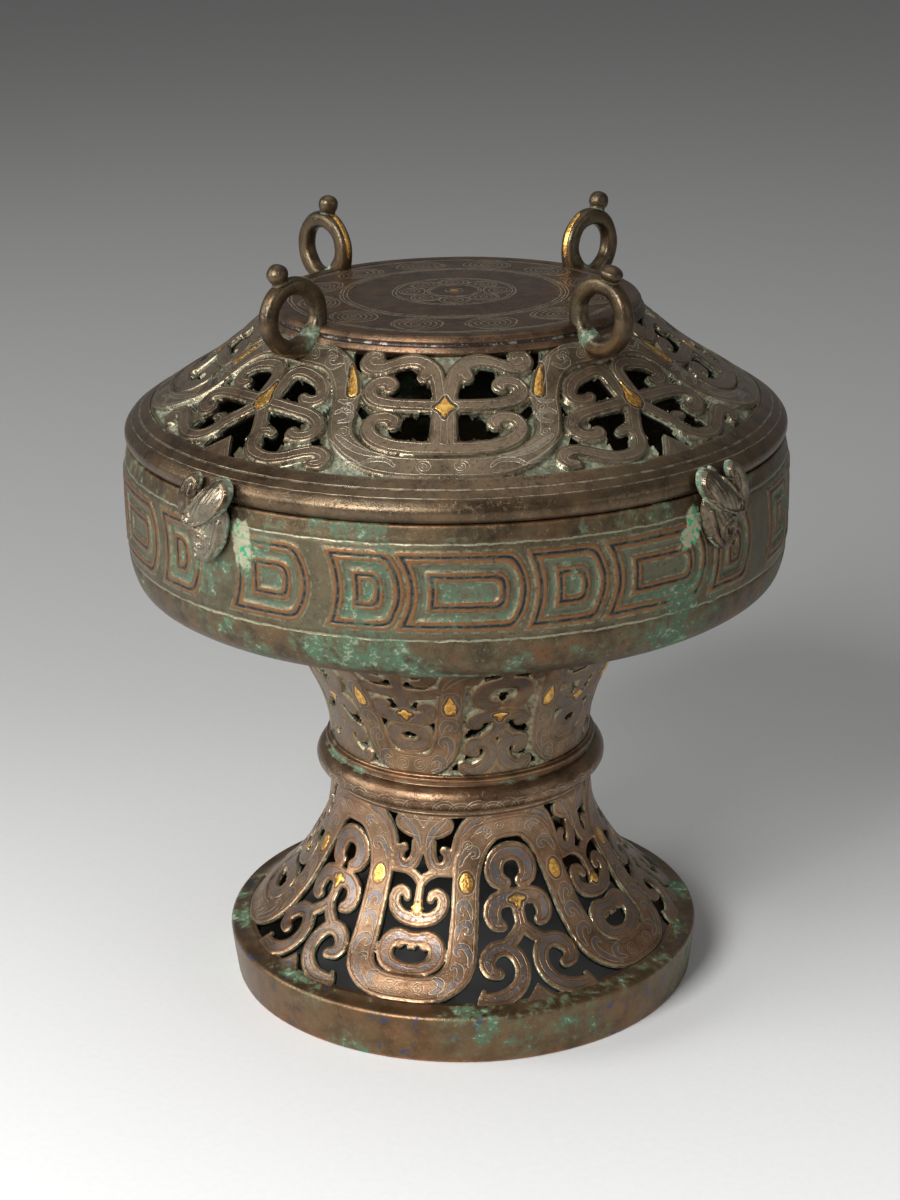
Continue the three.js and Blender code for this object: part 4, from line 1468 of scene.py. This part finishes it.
@dataclass(frozen=True)
class Collar:
    """The bead between foot and stem, with a channel and a thin raised edge above it."""

    corners: tuple[Corner, ...] = (
        Corner(52.2, 86.9, 0.3), Corner(55.2, 86.9, 0.4), Corner(55.9, 87.8, 0.5), Corner(55.9, 90.1, 0.4),
        Corner(58.2, 90.4, 1.2), Corner(60.0, 92.4, 1.6), Corner(60.3, 95.2, 2.0), Corner(59.0, 98.0, 1.8),
        Corner(57.0, 99.7, 0.8), Corner(55.4, 100.1, 0.4), Corner(55.0, 101.8, 0.5),
        Corner(56.1, 102.1, 0.4), Corner(56.1, 103.2, 0.4), Corner(54.8, 103.8, 0.4),
        Corner(54.6, 104.3, 0.2), Corner(51.8, 104.3, 0.3),
    )
    finish: CollarFinish = CollarFinish()

    def build(self) -> list[bpy.types.Object]:
        """Makes the collar.

        Returns:
            Its piece.
        """
        mesh = turned(Section(self.corners, step=0.8), turn_angles(3.0))
        piece = mesh.piece("collar_bead", self.finish.material(), Body.BASE, Metal.BRONZE, 60)
        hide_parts("stem_collar")
        return [piece]


@dataclass(frozen=True)
class Field:
    """One framed field of the basin's frieze, from one angle to another."""

    start: float
    end: float

    @property
    def hollow(self) -> float:
        """How far its left edge bends in: more on a long field."""
        return 5.4 if self.end - self.start > 16 else 3.8

    @property
    def bulge(self) -> float:
        """How far its right edge bends out."""
        return 5.6


@dataclass
class Basin:
    """The dish: a shallow floor and an upright wall with a frieze of nested fields that all bulge one way."""

    fields: tuple[Field, ...] = (
        Field(-39, -23.5), Field(-21.3, -8.2), Field(-10.2, 11.2), Field(10.4, 24.2), Field(22.8, 44),
        Field(44, 56.4), Field(62, 75), Field(76, 95), Field(95.6, 109), Field(110, 130), Field(130.4, 144),
        Field(145, 165), Field(165.4, 179), Field(180, 200), Field(200.4, 214), Field(215, 235),
        Field(235.4, 249), Field(250, 269), Field(269.4, 282), Field(-78, -58), Field(-57.2, -45),
    )
    frieze_middle: float = 209.0
    frieze_half: float = 14.9
    radius: float = 132.25
    inside_radius: float = 129.4
    cuts: tuple[float, ...] = (-43.8, 46.4, 136.4, 226.2, 316.2)
    turn_step: float = 0.31
    finish: BasinFinish = BasinFinish()

    def section(self) -> Section:
        """The dish's section: down inside, across the floor, and up the outer wall."""
        r = self.radius
        corners = (
            Corner(0, 166), Corner(80, 166, 2), Corner(84.8, 164.6, 1), Corner(104, 168.4, 4),
            Corner(122.5, 173.0, 4), Corner(129.4, 177.9, 5), Corner(131.8, 186, 3), Corner(r, 192, 2),
            Corner(r + 0.1, 205, 2), Corner(r, 222, 1), Corner(r - 0.4, 226.6, 0.8), Corner(131.2, 229, 1),
            Corner(130.4, 233.1, 0.8), Corner(126.6, 233.1, 0.6), Corner(128.2, 222, 1),
            Corner(128.4, 190, 3), Corner(126.4, 181, 3), Corner(121.6, 176.4, 3), Corner(100, 172, 3),
            Corner(0, 170.6),
        )
        return Section(corners, step=0.75, fine_from=128.0)

    def dee(self, phi: np.ndarray, z: np.ndarray) -> np.ndarray:
        """Distance inside the nearest field: the least of those to its bent sides, its top and its bottom.

        Each side bends as one less the square of the height from the middle, so the fields nest like
        scales. The least is softened on the right, which rounds those corners.

        Args:
            phi: Angles in degrees.
            z: Heights in millimetres.

        Returns:
            Millimetres inside; negative outside.
        """
        up = (z - self.frieze_middle) / self.frieze_half
        level = self.frieze_half - np.abs(z - self.frieze_middle)
        found = np.full(np.broadcast(phi, z).shape, -20.0)
        for f in self.fields:
            middle = (f.start + f.end) / 2
            x = ((phi - middle + 180) % 360 - 180) * math.radians(self.radius)
            half = (f.end - f.start) / 2 * math.radians(self.radius)
            arch = 1 - up**2
            left = (x + half - f.hollow * arch) / np.sqrt(1 + (2 * f.hollow * up / self.frieze_half) ** 2)
            right = (half - f.bulge * (1 - arch) - x) / np.sqrt(1 + (2 * f.bulge * up / self.frieze_half) ** 2)
            soft = 2.6
            blend = np.clip(0.5 + 0.5 * (level - right) / soft, 0, 1)
            rounded = level + (right - level) * blend - soft * blend * (1 - blend)
            found = np.maximum(found, np.minimum(left, rounded))
        return np.where(np.abs(up) < 1.6, found, -20.0)

    def relief(self, phi: np.ndarray, section: Section) -> np.ndarray:
        """Raises the frames of each field and sinks the grounds between them.

        Args:
            phi: Angles in degrees.
            section: The turned section.

        Returns:
            Outward millimetres.
        """
        r, z = section.points[:, 0], section.points[:, 1]
        outer = ((r > self.radius - 3) & (z > 176))[None, :]
        d = self.dee(phi[:, None], z[None, :])
        frame = ramp(d, -0.2, 0.4) * (1 - ramp(d, 4.1, 4.8)) + ramp(d, 7.1, 7.7) * (1 - ramp(d, 11.0, 11.6))
        groove = ramp(d, 1.1, 1.7) * (1 - ramp(d, 2.4, 3.0)) + ramp(d, 8.5, 9.0) * (1 - ramp(d, 9.7, 10.2))
        sunk = ramp(d, 4.2, 5.0) * (1 - ramp(d, 6.6, 7.4)) + ramp(d, 11.2, 11.8)
        turn = phi[:, None]
        wave = 190.6 + 0.4 * np.sin(np.radians(turn * 7)) + 0.3 * np.sin(np.radians(turn * 17 + 40))
        upper = 0.8 * np.exp(-(((z[None, :] - 226.6) / 0.6) ** 2))
        channel = np.exp(-(((z[None, :] - wave) / 0.7) ** 2)) + upper
        return np.where(outer, 0.45 * frame - 0.2 * groove - 0.35 * sunk - 0.4 * channel, 0)

    def build(self) -> list[bpy.types.Object]:
        """Makes the dish in four quarters that meet behind the clasps.

        Returns:
            The pieces, one for each quarter.
        """
        section = self.section()
        finish = self.finish.material()
        inner = (section.points[:, 0] < self.inside_radius) & (section.points[:, 1] > 170)
        made = []
        for k, (start, end) in enumerate(zip(self.cuts, self.cuts[1:])):
            phi = turn_angles(self.turn_step, start, end)
            mesh = turned(section, phi, self.relief)
            n, m = len(phi), len(section.points)
            mesh.values["dee"] = self.dee(phi[:, None], section.points[None, :, 1]).ravel()
            mesh.values["inner"] = np.broadcast_to(inner.astype(float), (n, m)).ravel()
            made.append(mesh.piece(f"dish_{k + 1}", finish, Body.BASE, Metal.BRONZE, 60))
        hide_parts("basin")
        return made


@dataclass(frozen=True)
class LidRim:
    """The lid's rounded border, with an inner lip that seats it in the dish."""

    corners: tuple[Corner, ...] = (
        Corner(129.8, 233.5, 0.6), Corner(131.3, 235.6, 1.4), Corner(131.3, 238.6, 1.6),
        Corner(129.0, 241.7, 1.2), Corner(125.2, 244.4, 1), Corner(120.9, 247.1, 0.4),
        Corner(118.6, 243.8, 0.6), Corner(124.2, 238.4, 1), Corner(122.6, 234.6, 0.8),
        Corner(122.6, 228.6, 0.6), Corner(125.6, 228.6, 0.6), Corner(126.3, 233.5, 0.3),
    )
    finish: RimFinish = RimFinish()

    def build(self) -> list[bpy.types.Object]:
        """Makes the border.

        Returns:
            Its piece.
        """
        mesh = turned(Section(self.corners), turn_angles(1.8))
        piece = mesh.piece("lid_border", self.finish.material(), Body.LID, Metal.BRONZE, 60)
        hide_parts("lid_rim")
        return [piece]


@dataclass(frozen=True)
class Disc:
    """The plate on top of the lid: slightly domed, with an inlaid groove under its rounded edge."""

    corners: tuple[Corner, ...] = (
        Corner(0, 283.2), Corner(68, 281.8, 1), Corner(72.4, 278.2, 0.5), Corner(74.9, 281.0, 0.5),
        Corner(73.8, 283.0, 0.3), Corner(73.1, 283.2, 0.2), Corner(72.9, 284.0, 0.2),
        Corner(73.3, 284.8, 0.6), Corner(71.9, 286.9, 1.2), Corner(66.8, 287.0, 1),
        Corner(66.2, 286.75, 0.4), Corner(40, 287.6, 8), Corner(0, 288.2),
    )
    finish: DiscFinish = DiscFinish()

    def build(self) -> list[bpy.types.Object]:
        """Makes the plate.

        Returns:
            Its piece.
        """
        mesh = turned(Section(self.corners), turn_angles(3.0))
        piece = mesh.piece("top_disc", self.finish.material(), Body.LID, Metal.BRONZE, 60)
        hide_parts("lid_disc")
        return [piece]


# Handles and clasps


@dataclass(frozen=True)
class RingHandle:
    """An upright ring on the edge of the disc: its plane runs through the axis, a ball stands on it.

    The tube is a circle flattened on the ring's two faces, and gold lies on the rim that faces the axis.
    """

    number: int
    phi: float
    radius: float
    height: float
    lean: float
    knob: tuple[float, float, float] = (4.05, 4.05, 3.95)
    ring_radius: float = 11.9
    tube: float = 3.35

    def place(self, out: np.ndarray, side: np.ndarray, up: np.ndarray) -> np.ndarray:
        """Turns the handle's outward, sideways and upward lengths to its angle and puts them in place."""
        a = math.radians(self.phi)
        r = self.radius + out
        x = r * math.sin(a) + side * math.cos(a)
        y = -r * math.cos(a) + side * math.sin(a)
        return np.stack([x, y, self.height + up], axis=-1) * MM

    def closed(self, rows: np.ndarray, values: dict[str, np.ndarray]) -> Mesh:
        """Joins a grid that closes on itself both ways.

        Args:
            rows: Points, around by across by 3.
            values: Numbers kept at them.

        Returns:
            The mesh.
        """
        n, m = rows.shape[:2]
        i, j = np.meshgrid(np.arange(n), np.arange(m), indexing="ij")
        k, l = (i + 1) % n, (j + 1) % m
        quads = np.stack([i * m + j, k * m + j, k * m + l, i * m + l], axis=-1).reshape(-1, 4)
        return Mesh(rows.reshape(-1, 3), quads, {key: v.ravel() for key, v in values.items()})

    def ring(self) -> Mesh:
        """The ring: a tube swept round a circle, a little uneven, thicker where it is rooted.

        Returns:
            The mesh.
        """
        around = np.radians(np.arange(0, 360, 3.0))[:, None]
        across = np.radians(np.arange(0, 360, 10.0))[None, :]
        root = np.exp(-(((np.degrees(around) - 235) / 34) ** 2))
        uneven = 0.10 * np.sin(3 * around + self.number) + 0.06 * np.sin(7 * around + 2 * self.number)
        thick = self.tube + uneven + 0.7 * root
        swell = 1 / (np.abs(np.cos(across)) ** 2.6 + np.abs(np.sin(across)) ** 2.6) ** (1 / 2.6)
        reach = self.ring_radius + thick * np.cos(across) * swell
        side = thick * 0.97 * np.sin(across) * swell
        points = self.place(reach * np.cos(around), side + 0 * around, reach * np.sin(around))
        inner = ramp(-np.cos(across), -0.2, 0.7) * np.ones_like(around)
        wear = 0.75 * ramp(np.cos(across), -0.1, 0.9) * (1 - root)
        return self.closed(points,
                           {"wear": wear + 0 * inner, "shelter": np.clip(root * 0.7 + 0.15 * inner, 0, 1)})

    def ball(self) -> Mesh:
        """The ball: a slightly dinted sphere on a short neck, drawn as rings from its foot to its crown.

        Returns:
            The mesh.
        """
        lean = math.radians(self.lean)
        reach = self.ring_radius + self.tube + self.knob[2] - 0.75
        tilt = np.linspace(0, math.pi, 22)[:, None]
        turn = np.radians(np.arange(0, 360, 9.0))[None, :]
        dint = 1 + 0.02 * np.sin(3 * turn + self.number) * np.sin(tilt) + 0.02 * np.sin(5 * tilt + self.number)
        foot = ramp(-np.cos(tilt), 0.62, 0.98)
        wide = np.sin(tilt) * dint + 0.42 * foot * (tilt < math.pi - 1e-6)
        along = np.cos(tilt) * dint
        x, y = self.knob[0] * wide * np.cos(turn), self.knob[1] * wide * np.sin(turn)
        z = self.knob[2] * along + 0 * turn + reach
        out, up = x * math.cos(lean) + z * math.sin(lean), -x * math.sin(lean) + z * math.cos(lean)
        points = self.place(out, y, up)
        n, m = points.shape[:2]
        points = points.reshape(-1, 3)
        ids = np.arange(n * m).reshape(n, m)
        ids[0], ids[-1] = ids[0, 0], ids[-1, 0]
        quads = sleeve_quads(ids)
        body = quads[1:-1].reshape(-1, 4)
        caps = [q[[0, 1, 2]] for q in quads[0]] + [q[[0, 1, 3]] for q in quads[-1]]
        worn = np.broadcast_to(0.5 + 0.3 * np.cos(tilt), (n, m)).ravel()
        sheltered = np.broadcast_to(foot, (n, m)).ravel()
        return Mesh(points, body, {"wear": worn, "shelter": sheltered}, caps)

    def gilding(self) -> Mesh:
        """The strip of gold on the rim that faces the axis: a thin lens of metal bent round the ring.

        Returns:
            The mesh.
        """
        start, end = (112, 196) if self.lean > 0 else (96, 190)
        around = np.radians(np.linspace(start, end, 40))[:, None]
        across = np.radians(np.arange(0, 360, 20.0))[None, :]
        taper = np.sqrt(np.clip(1 - np.linspace(-1, 1, 40) ** 8, 0.02, 1))[:, None]
        reach = self.ring_radius + self.tube - 0.05 + 0.28 * np.cos(across)
        side = 1.05 * taper * np.sin(across)
        points = self.place(reach * np.cos(around), side, reach * np.sin(around))
        n, m = points.shape[:2]
        ids = np.arange(n * m).reshape(n, m)
        return Mesh(points.reshape(-1, 3), sleeve_quads(ids).reshape(-1, 4), {}, [ids[0], ids[-1][::-1]])

    def build(self, bronze: bpy.types.Material, gold: bpy.types.Material) -> list[bpy.types.Object]:
        """Makes the handle.

        Args:
            bronze: Finish of ring and ball.
            gold: Finish of the strip.

        Returns:
            Its pieces.
        """
        ring = self.ring().joined(self.ball()).piece(f"handle_{self.number}", bronze, Body.LID,
                                                     Metal.BRONZE, 70)
        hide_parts(f"ring_handle_{self.number}")
        strip = self.gilding().piece(f"handle_gold_{self.number}", gold, Body.LID, Metal.GOLD)
        return [ring, strip]


@dataclass(frozen=True)
class Mask:
    """An animal mask that hangs from the lid's border over the dish: two curled ears, an eye, a snout.

    Its front stands over the rim's curve: rounded ridges drawn as strokes of (across, up, width, height).
    """

    number: int
    phi: float
    mirror: float = 1.0
    back: float = 133.75
    low: float = 210.8
    high: float = 243.9
    half: float = 13.5
    cell: float = 0.36
    strokes: tuple[Points, ...] = (
        ((-2.8, 214.2, 8, 3.0), (-1, 218.5, 14, 4.2), (1.2, 223, 17, 4.6), (2.4, 228, 18, 4.0)),
        ((-7.6, 224, 6, 2.4), (-8.2, 232, 6, 2.4), (-7, 239, 5, 2.2)),
        ((-2.6, 231.5, 5, 2.8), (0.6, 236, 5.6, 2.6)),
        ((-9.4, 223, 4.4, 3.4), (-10.6, 229, 4.4, 3.8), (-10.2, 235, 4, 3.8), (-8.7, 239.6, 3.4, 3.6),
         (-6.2, 241.6, 3, 3.4), (-4.2, 240.4, 2.4, 3.2), (-4.5, 238.2, 1.8, 3.0)),
        ((-5.2, 224.6, 2, 3.8), (-6.6, 230, 2, 3.8), (-7, 235, 1.9, 3.5), (-6.7, 238.8, 1.7, 3.1)),
        ((-4.8, 227.2, 6.0, 5.0), (-0.6, 229.6, 8.4, 6.2), (4.0, 233.0, 9.4, 6.6), (7.4, 237.0, 9.4, 6.0),
         (8.4, 239.8, 7.0, 4.8)),
        ((5.6, 240.2, 3.2, 4.2), (4.6, 242.4, 1.6, 3.4)),
        ((-8.2, 227.6, 1.4, 5.4), (-6.4, 225.0, 1.4, 5.8), (-1.6, 225.6, 1.4, 6.0), (4.4, 228.4, 1.4, 6.0),
         (9.0, 232.2, 1.4, 5.6), (12.0, 236.6, 1.4, 5.0), (12.0, 240.4, 1.4, 4.6), (9.6, 242.6, 1.4, 4.4)),
        ((-6.6, 229.6, 1.3, 5.4), (-4, 231.8, 1.3, 5.6), (-0.6, 235.4, 1.3, 5.4), (2.4, 239.4, 1.3, 4.8)),
        ((-5.4, 223.6, 1.6, 5.4), (-2.4, 224.0, 1.6, 5.6), (1.6, 223.2, 1.5, 5.6), (3.6, 221.2, 1.4, 5.2),
         (3.2, 217.4, 1.4, 4.8)),
        ((2.4, 213.6, 2.6, 4.2), (5.4, 217.4, 2.6, 4.4), (7.2, 222.4, 2.4, 4.2), (8.4, 227.4, 2.2, 4.0)),
    )
    whorls: tuple[tuple[float, float, float], ...] = ((-0.2, 219.6, 2.4), (-3.6, 213.9, 1.8),
                                                      (-4.6, 227.6, 1.7))

    def height(self, x: np.ndarray, z: np.ndarray) -> tuple[np.ndarray, np.ndarray]:
        """Height of the front: the greatest of the strokes' rounded ridges, each a half circle across.

        Args:
            x: Distance across, in millimetres.
            z: Height.

        Returns:
            How far it stands out, and the distance inside the outline.
        """
        best, inside = np.zeros_like(x), np.full_like(x, -9.0)
        for stroke in self.strokes:
            p = spline(np.array(stroke, float), 8)
            a, b = p[:-1], p[1:]
            dx, dz = (b - a)[:, 0], (b - a)[:, 1]
            px, pz = x[..., None] - a[:, 0], z[..., None] - a[:, 1]
            t = np.clip((px * dx + pz * dz) / np.maximum(dx * dx + dz * dz, 1e-9), 0, 1)
            gap = np.hypot(px - t * dx, pz - t * dz)
            half = (a[:, 2] + (b - a)[:, 2] * t) / 2
            tall = a[:, 3] + (b - a)[:, 3] * t
            share = np.clip(1 - (gap / half) ** 2, 0, 1)
            ridge = tall - np.minimum(half * 0.7, tall) * (1 - np.sqrt(share))
            best = np.maximum(best, np.max(np.where(gap < half, ridge, 0), axis=-1))
            inside = np.maximum(inside, np.max(half - gap, axis=-1))
        for across, up, reach in self.whorls:
            far = np.hypot(x - across, z - up)
            ring = 0.9 * np.exp(-(((far - reach) / 0.55) ** 2)) - 0.9 * np.exp(-((far / (0.62 * reach)) ** 2))
            best = best + np.where(inside > 0.3, ring, 0)
        grooves = np.sin((x * 0.9 - (z - 234) * 0.5) * 3.4) * ramp(inside, 0.8, 1.6) * ramp(best, 3.2, 4.4)
        return best + 0.12 * grooves, inside

    def build(self, finish: bpy.types.Material) -> list[bpy.types.Object]:
        """Makes the clasp.

        Args:
            finish: Its finish.

        Returns:
            Its piece.
        """
        step = self.cell
        x = np.arange(-self.half, self.half + step, step)
        z = np.arange(self.low - 1.5, self.high + 1.5, step)
        zz, xx = np.meshgrid(z, x, indexing="ij")
        tall, inside = self.height(xx * self.mirror, zz)
        keep = standing(inside)
        border = bordered(np.pad(keep, 1))
        up, across = np.gradient(inside, step)
        slope = np.maximum(up**2 + across**2, 0.3)
        far = np.maximum(np.abs(inside) / np.sqrt(slope) / (0.7 * step), 1)
        xx = xx - np.where(border, inside * across / slope / far, 0)
        zz = zz - np.where(border, inside * up / slope / far, 0)
        tall = np.where(border, 0.9, np.maximum(tall, 0.9))
        lip = 1.1 * ramp(zz, 234.5, 240) + 2.2 * ramp(zz, 239, 245.5)
        base = self.back - lip

        def curve(r: np.ndarray) -> np.ndarray:
            """Bends the front or the back round the rim, at radius r."""
            return round_axis(self.phi + np.degrees(xx / 133), r + 0.25, zz)

        shade_low = np.clip(1 - inside / 0.9, 0, 1)
        near = np.roll(tall, 2, 0) + np.roll(tall, -2, 0) + np.roll(tall, 2, 1) + np.roll(tall, -2, 1)
        curving = tall - near / 4
        worn = np.clip(0.4 + curving * 1.6, 0, 1)
        values = {"wear": worn, "shelter": np.clip(shade_low * 0.3 - curving * 1.4, 0, 1)}
        mesh = shell(curve(base + tall), curve(base), keep, values)
        piece = mesh.piece(f"mask_{self.number}", finish, Body.LID, Metal.BRONZE, 70)
        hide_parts(f"mask_clasp_{self.number}")
        return [piece]


# Studio


@dataclass(frozen=True)
class Studio:
    """Camera, floor and soft lights. The camera looks at the vessel from the front and above."""

    lens: float = 73.5
    distance: float = 1.0046
    pitch: float = 19.6
    roll: float = -0.82
    yaw: float = -0.2
    look_height: float = 0.1592
    lamps: tuple[tuple[str, tuple[float, float, float], float, float], ...] = (
        ("key_front", (-1.0, -1.5, 1.35), 0.9, 48),
        ("side_left", (-1.8, -0.2, 0.9), 1.0, 18),
        ("top", (0.0, 0.2, 2.1), 1.5, 6),
        ("fill_right", (1.7, -1.0, 0.9), 1.0, 3),
    )
    # Greys of the paper from near to far, with painted shade: they darken behind the vessel.
    greys: tuple[tuple[float, int], ...] = ((0.06, 220), (0.12, 186), (0.2, 182), (0.32, 184), (0.5, 188))
    ambient: float = 0.3

    def camera(self) -> None:
        """Places the camera: it looks down by the pitch at the axis, turned by the yaw and the roll."""
        p, y, r = (math.radians(v) for v in (self.pitch, self.yaw, self.roll))
        right, ahead = np.array([1.0, 0, 0]), np.array([0, math.cos(p), -math.sin(p)])
        up = np.array([0, math.sin(p), math.cos(p)])
        ahead, right = ahead * math.cos(y) + right * math.sin(y), right * math.cos(y) - ahead * math.sin(y)
        right, up = right * math.cos(r) + up * math.sin(r), up * math.cos(r) - right * math.sin(r)
        data = bpy.data.cameras.new("camera")
        data.sensor_fit = "VERTICAL"
        data.sensor_width = data.sensor_height = 36
        data.lens = self.lens
        data.clip_end = 60
        camera = bpy.data.objects.new("camera", data)
        bpy.context.scene.collection.objects.link(camera)
        place = Matrix.Identity(4)
        spot = (0, -self.distance * math.cos(p), self.look_height + self.distance * math.sin(p))
        for i in range(3):
            place[i][0], place[i][1], place[i][2], place[i][3] = right[i], up[i], -ahead[i], spot[i]
        camera.matrix_world = place
        bpy.context.scene.camera = camera

    def floor(self) -> None:
        """Lays a wide sheet of paper with painted shade: it darkens behind the vessel and to the right, and a
        painted shadow darkens it inside the hollow foot.
        """
        x, y = np.meshgrid(np.linspace(-14, 14, 57), np.linspace(-14, 14, 57))
        points = np.stack([x, y, 0 * x - 0.0002], axis=-1).reshape(-1, 3)
        ids = np.arange(x.size).reshape(x.shape)
        quads = grid_quads(ids).reshape(-1, 4)
        mix = Recipe("studio_paper")
        split = mix.tree.nodes.new("ShaderNodeSeparateXYZ")
        mix.feed(split.inputs[0], mix.place)
        # Painted shade: the paper darkens towards the back and, by the X term, to the right, standing in for
        # the falling-off light and the vessel's shadow on that side.
        back = mix.plus(split.outputs["Y"], split.outputs["X"], 0.1)
        ramp_node = mix.tree.nodes.new("ShaderNodeValToRGB")
        mix.feed(ramp_node.inputs[0], mix.math("MULTIPLY_ADD", back, 0.25, 0.05))
        ramp_node.color_ramp.interpolation = "B_SPLINE"
        stops = ramp_node.color_ramp.elements
        stops[0].position, stops[0].color = 0.0, shade(244, 244, 244)
        stops[1].position, stops[1].color = 1.0, shade(190, 190, 189)
        for place, grey in self.greys:
            stops.new(place).color = shade(grey, grey, grey - 1)
        grain = mix.rise(mix.noise(3, 3, 0.6), 0.2, 0.8, 0, 0.04)
        across, along, _ = mix.axes()
        # Painted shadow: inside the hollow foot the paper turns dark grey, standing in for the shade under the
        # vessel.
        under = mix.rise(mix.reach(across, along), 80, 92, 0.8, 0)
        paper = mix.mix(grain, ramp_node.outputs[0], shade(120, 120, 120))
        mix.feed(mix.shader.inputs["Base Color"], mix.mix(under, paper, shade(50, 50, 50)))
        mix.shader.inputs["Roughness"].default_value = 0.9
        mix.shader.inputs["Specular IOR Level"].default_value = 0.1
        mesh = bpy.data.meshes.new("floor")
        mesh.from_pydata(points.tolist(), [], quads.tolist())
        mesh.materials.append(mix.material)
        sheet = bpy.data.objects.new("floor", mesh)
        bpy.context.scene.collection.objects.link(sheet)

    def lamp(self, name: str, place: Sequence[float], size: float, watts: float) -> None:
        """Hangs a soft square lamp that faces the vessel.

        Args:
            name: The lamp's name.
            place: Where it hangs, in metres.
            size: Its side.
            watts: Its power.
        """
        data = bpy.data.lights.new(name, "AREA")
        data.shape = "SQUARE"
        data.size = size
        data.energy = watts
        lamp = bpy.data.objects.new(name, data)
        bpy.context.scene.collection.objects.link(lamp)
        to = np.array([0, 0, 0.17]) - np.array(place)
        z = -to / np.linalg.norm(to)
        x = np.cross([0, 0, 1], z)
        x /= np.linalg.norm(x)
        y = np.cross(z, x)
        lamp.matrix_world = Matrix([[x[i], y[i], z[i], place[i]] for i in range(3)] + [[0, 0, 0, 1]])

    def build(self) -> None:
        """Sets up the studio."""
        self.camera()
        self.floor()
        for lamp in self.lamps:
            self.lamp(*lamp)
        world = bpy.data.worlds.new("studio")
        world.use_nodes = True
        ground = world.node_tree.nodes["Background"]
        ground.inputs["Color"].default_value = (0.5, 0.5, 0.5, 1)
        ground.inputs["Strength"].default_value = self.ambient
        bpy.context.scene.world = world
        bpy.context.scene.view_settings.view_transform = "Standard"


HANDLE_BRONZE = Bronze("handle_bronze", brown=shade(106, 82, 58), dark=shade(60, 50, 38),
                       film=shade(92, 84, 64), copper=shade(156, 110, 78), green=shade(80, 100, 78),
                       pale=shade(146, 154, 132), green_share=0.13, rough=0.32)
MASK_BRONZE = Bronze("mask_bronze", brown=shade(116, 96, 74), dark=shade(62, 48, 36),
                     film=shade(138, 134, 118), film_share=0.7, copper=shade(150, 110, 78),
                     green=shade(84, 104, 84), pale=shade(160, 164, 142), green_share=0.2, rough=0.26)
LID_RIBBONS = Ribbons(
    Bronze("lid_ribbon_bronze", brown=shade(124, 98, 74), dark=shade(72, 58, 44), film=shade(138, 128, 106),
           film_share=0.55, copper=shade(160, 122, 90), wear_share=0.45, green=shade(80, 92, 74),
           pale=shade(138, 138, 116), green_share=0.16, chalk=0.6, rough=0.3),
    shade(134, 114, 94), 0.65, shade(156, 148, 134), shade(180, 170, 148), 0.8, shade(164, 150, 128), 1.5,
    0.8, 0.6,
    (Whorl(6.6, 22.4, 3.2), Whorl(36.2, 48.2, 2.9, -1), Whorl(37.2, 37.0, 2.6, 1), Whorl(44.8, 69.6, 2.9),
     Whorl(53.4, 69.5, 2.9, -1)),
)
FOOT_RIBBONS = Ribbons(
    Bronze("foot_ribbon_bronze", brown=shade(158, 114, 82), dark=shade(112, 82, 58),
           film=shade(152, 138, 114), film_share=0.4, copper=shade(170, 122, 86), wear_share=0.2,
           green=shade(84, 112, 90), pale=shade(172, 178, 152), green_share=0.14, rough=0.32),
    shade(112, 114, 118), 0.75, shade(112, 114, 122), shade(188, 172, 146), 0.55, shade(70, 58, 50), 1.8,
    0.8, 0.5,
    (Whorl(5.7, 33.9, 3.2), Whorl(18.0, 92.2, 2.6, -1), Whorl(25.4, 98.4, 2.6), Whorl(30.6, 99.6, 2.5, -1)),
)
STEM_RIBBONS = Ribbons(
    Bronze("stem_ribbon_bronze", brown=shade(144, 108, 76), dark=shade(94, 72, 52),
           film=shade(136, 124, 100), film_share=0.45, copper=shade(172, 124, 86), wear_share=0.4,
           green=shade(84, 106, 86), pale=shade(154, 162, 138), green_share=0.1, rough=0.34),
    shade(94, 92, 92), 0.6, shade(96, 94, 96), shade(174, 160, 134), 0.45, shade(60, 50, 40), 1.4, 0.6, 0.1,
    (Whorl(3.6, 5.6, 3.2), Whorl(10.6, 5.8, 2.9, -1)),
)
HANDLES = (
    RingHandle(1, -46.7, 82, 291.2, 22),
    RingHandle(2, 41.2, 82, 291.2, 17, (4.7, 4.2, 2.9)),
    RingHandle(3, -138, 79.5, 294, -9),
    RingHandle(4, 135, 79.5, 294, 17),
)
MASKS = (Mask(1, -42.6), Mask(2, 45.9, -1.0), Mask(3, 136.4), Mask(4, -133.8, -1.0))


def report(name: str, pieces: list[bpy.types.Object]) -> None:
    """Logs what was made.

    Args:
        name: The part.
        pieces: Its pieces.
    """
    LOG.info("%s: %d pieces, %d faces", name, len(pieces), sum(len(o.data.polygons) for o in pieces))


def main() -> None:
    """Builds the studio and every part of the vessel in order."""
    logging.basicConfig(level=logging.INFO, format="%(message)s")
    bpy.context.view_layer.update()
    Studio().build()
    gold = Gold().material()
    counts = {"star": 4, "kite": 4, "strip": 8}
    lid_nodes = [f"gold_{kind}_{k + 1}" for kind, count in counts.items() for k in range(count)]
    for part in (FootRing(), Collar(), Basin(), LidRim(), Disc()):
        report(type(part).__name__, part.build())
    for wall in (
        Openwork("foot_ribbons", "foot_openwork", Body.BASE, FOOT_PROFILE, FOOT_WORK, 3.2,
                 FOOT_RIBBONS.material()),
        Openwork("stem_ribbons", "stem_openwork", Body.BASE, STEM_PROFILE, STEM_WORK, 3.2,
                 STEM_RIBBONS.material(), ribbon_drop=0.3, ground_drop=0.7),
        Openwork("lid_ribbons", "lid_openwork", Body.LID, LID_PROFILE, LID_WORK, 4.0,
                 LID_RIBBONS.material(), gold_nodes=tuple(lid_nodes)),
    ):
        report(wall.name, wall.build(gold))
    ring_finish = HANDLE_BRONZE.worn()
    for handle in HANDLES:
        report(f"handle {handle.number}", handle.build(ring_finish, gold))
    mask_finish = MASK_BRONZE.worn()
    for mask in MASKS:
        report(f"mask {mask.number}", mask.build(mask_finish))


if __name__ == "__main__":
    main()
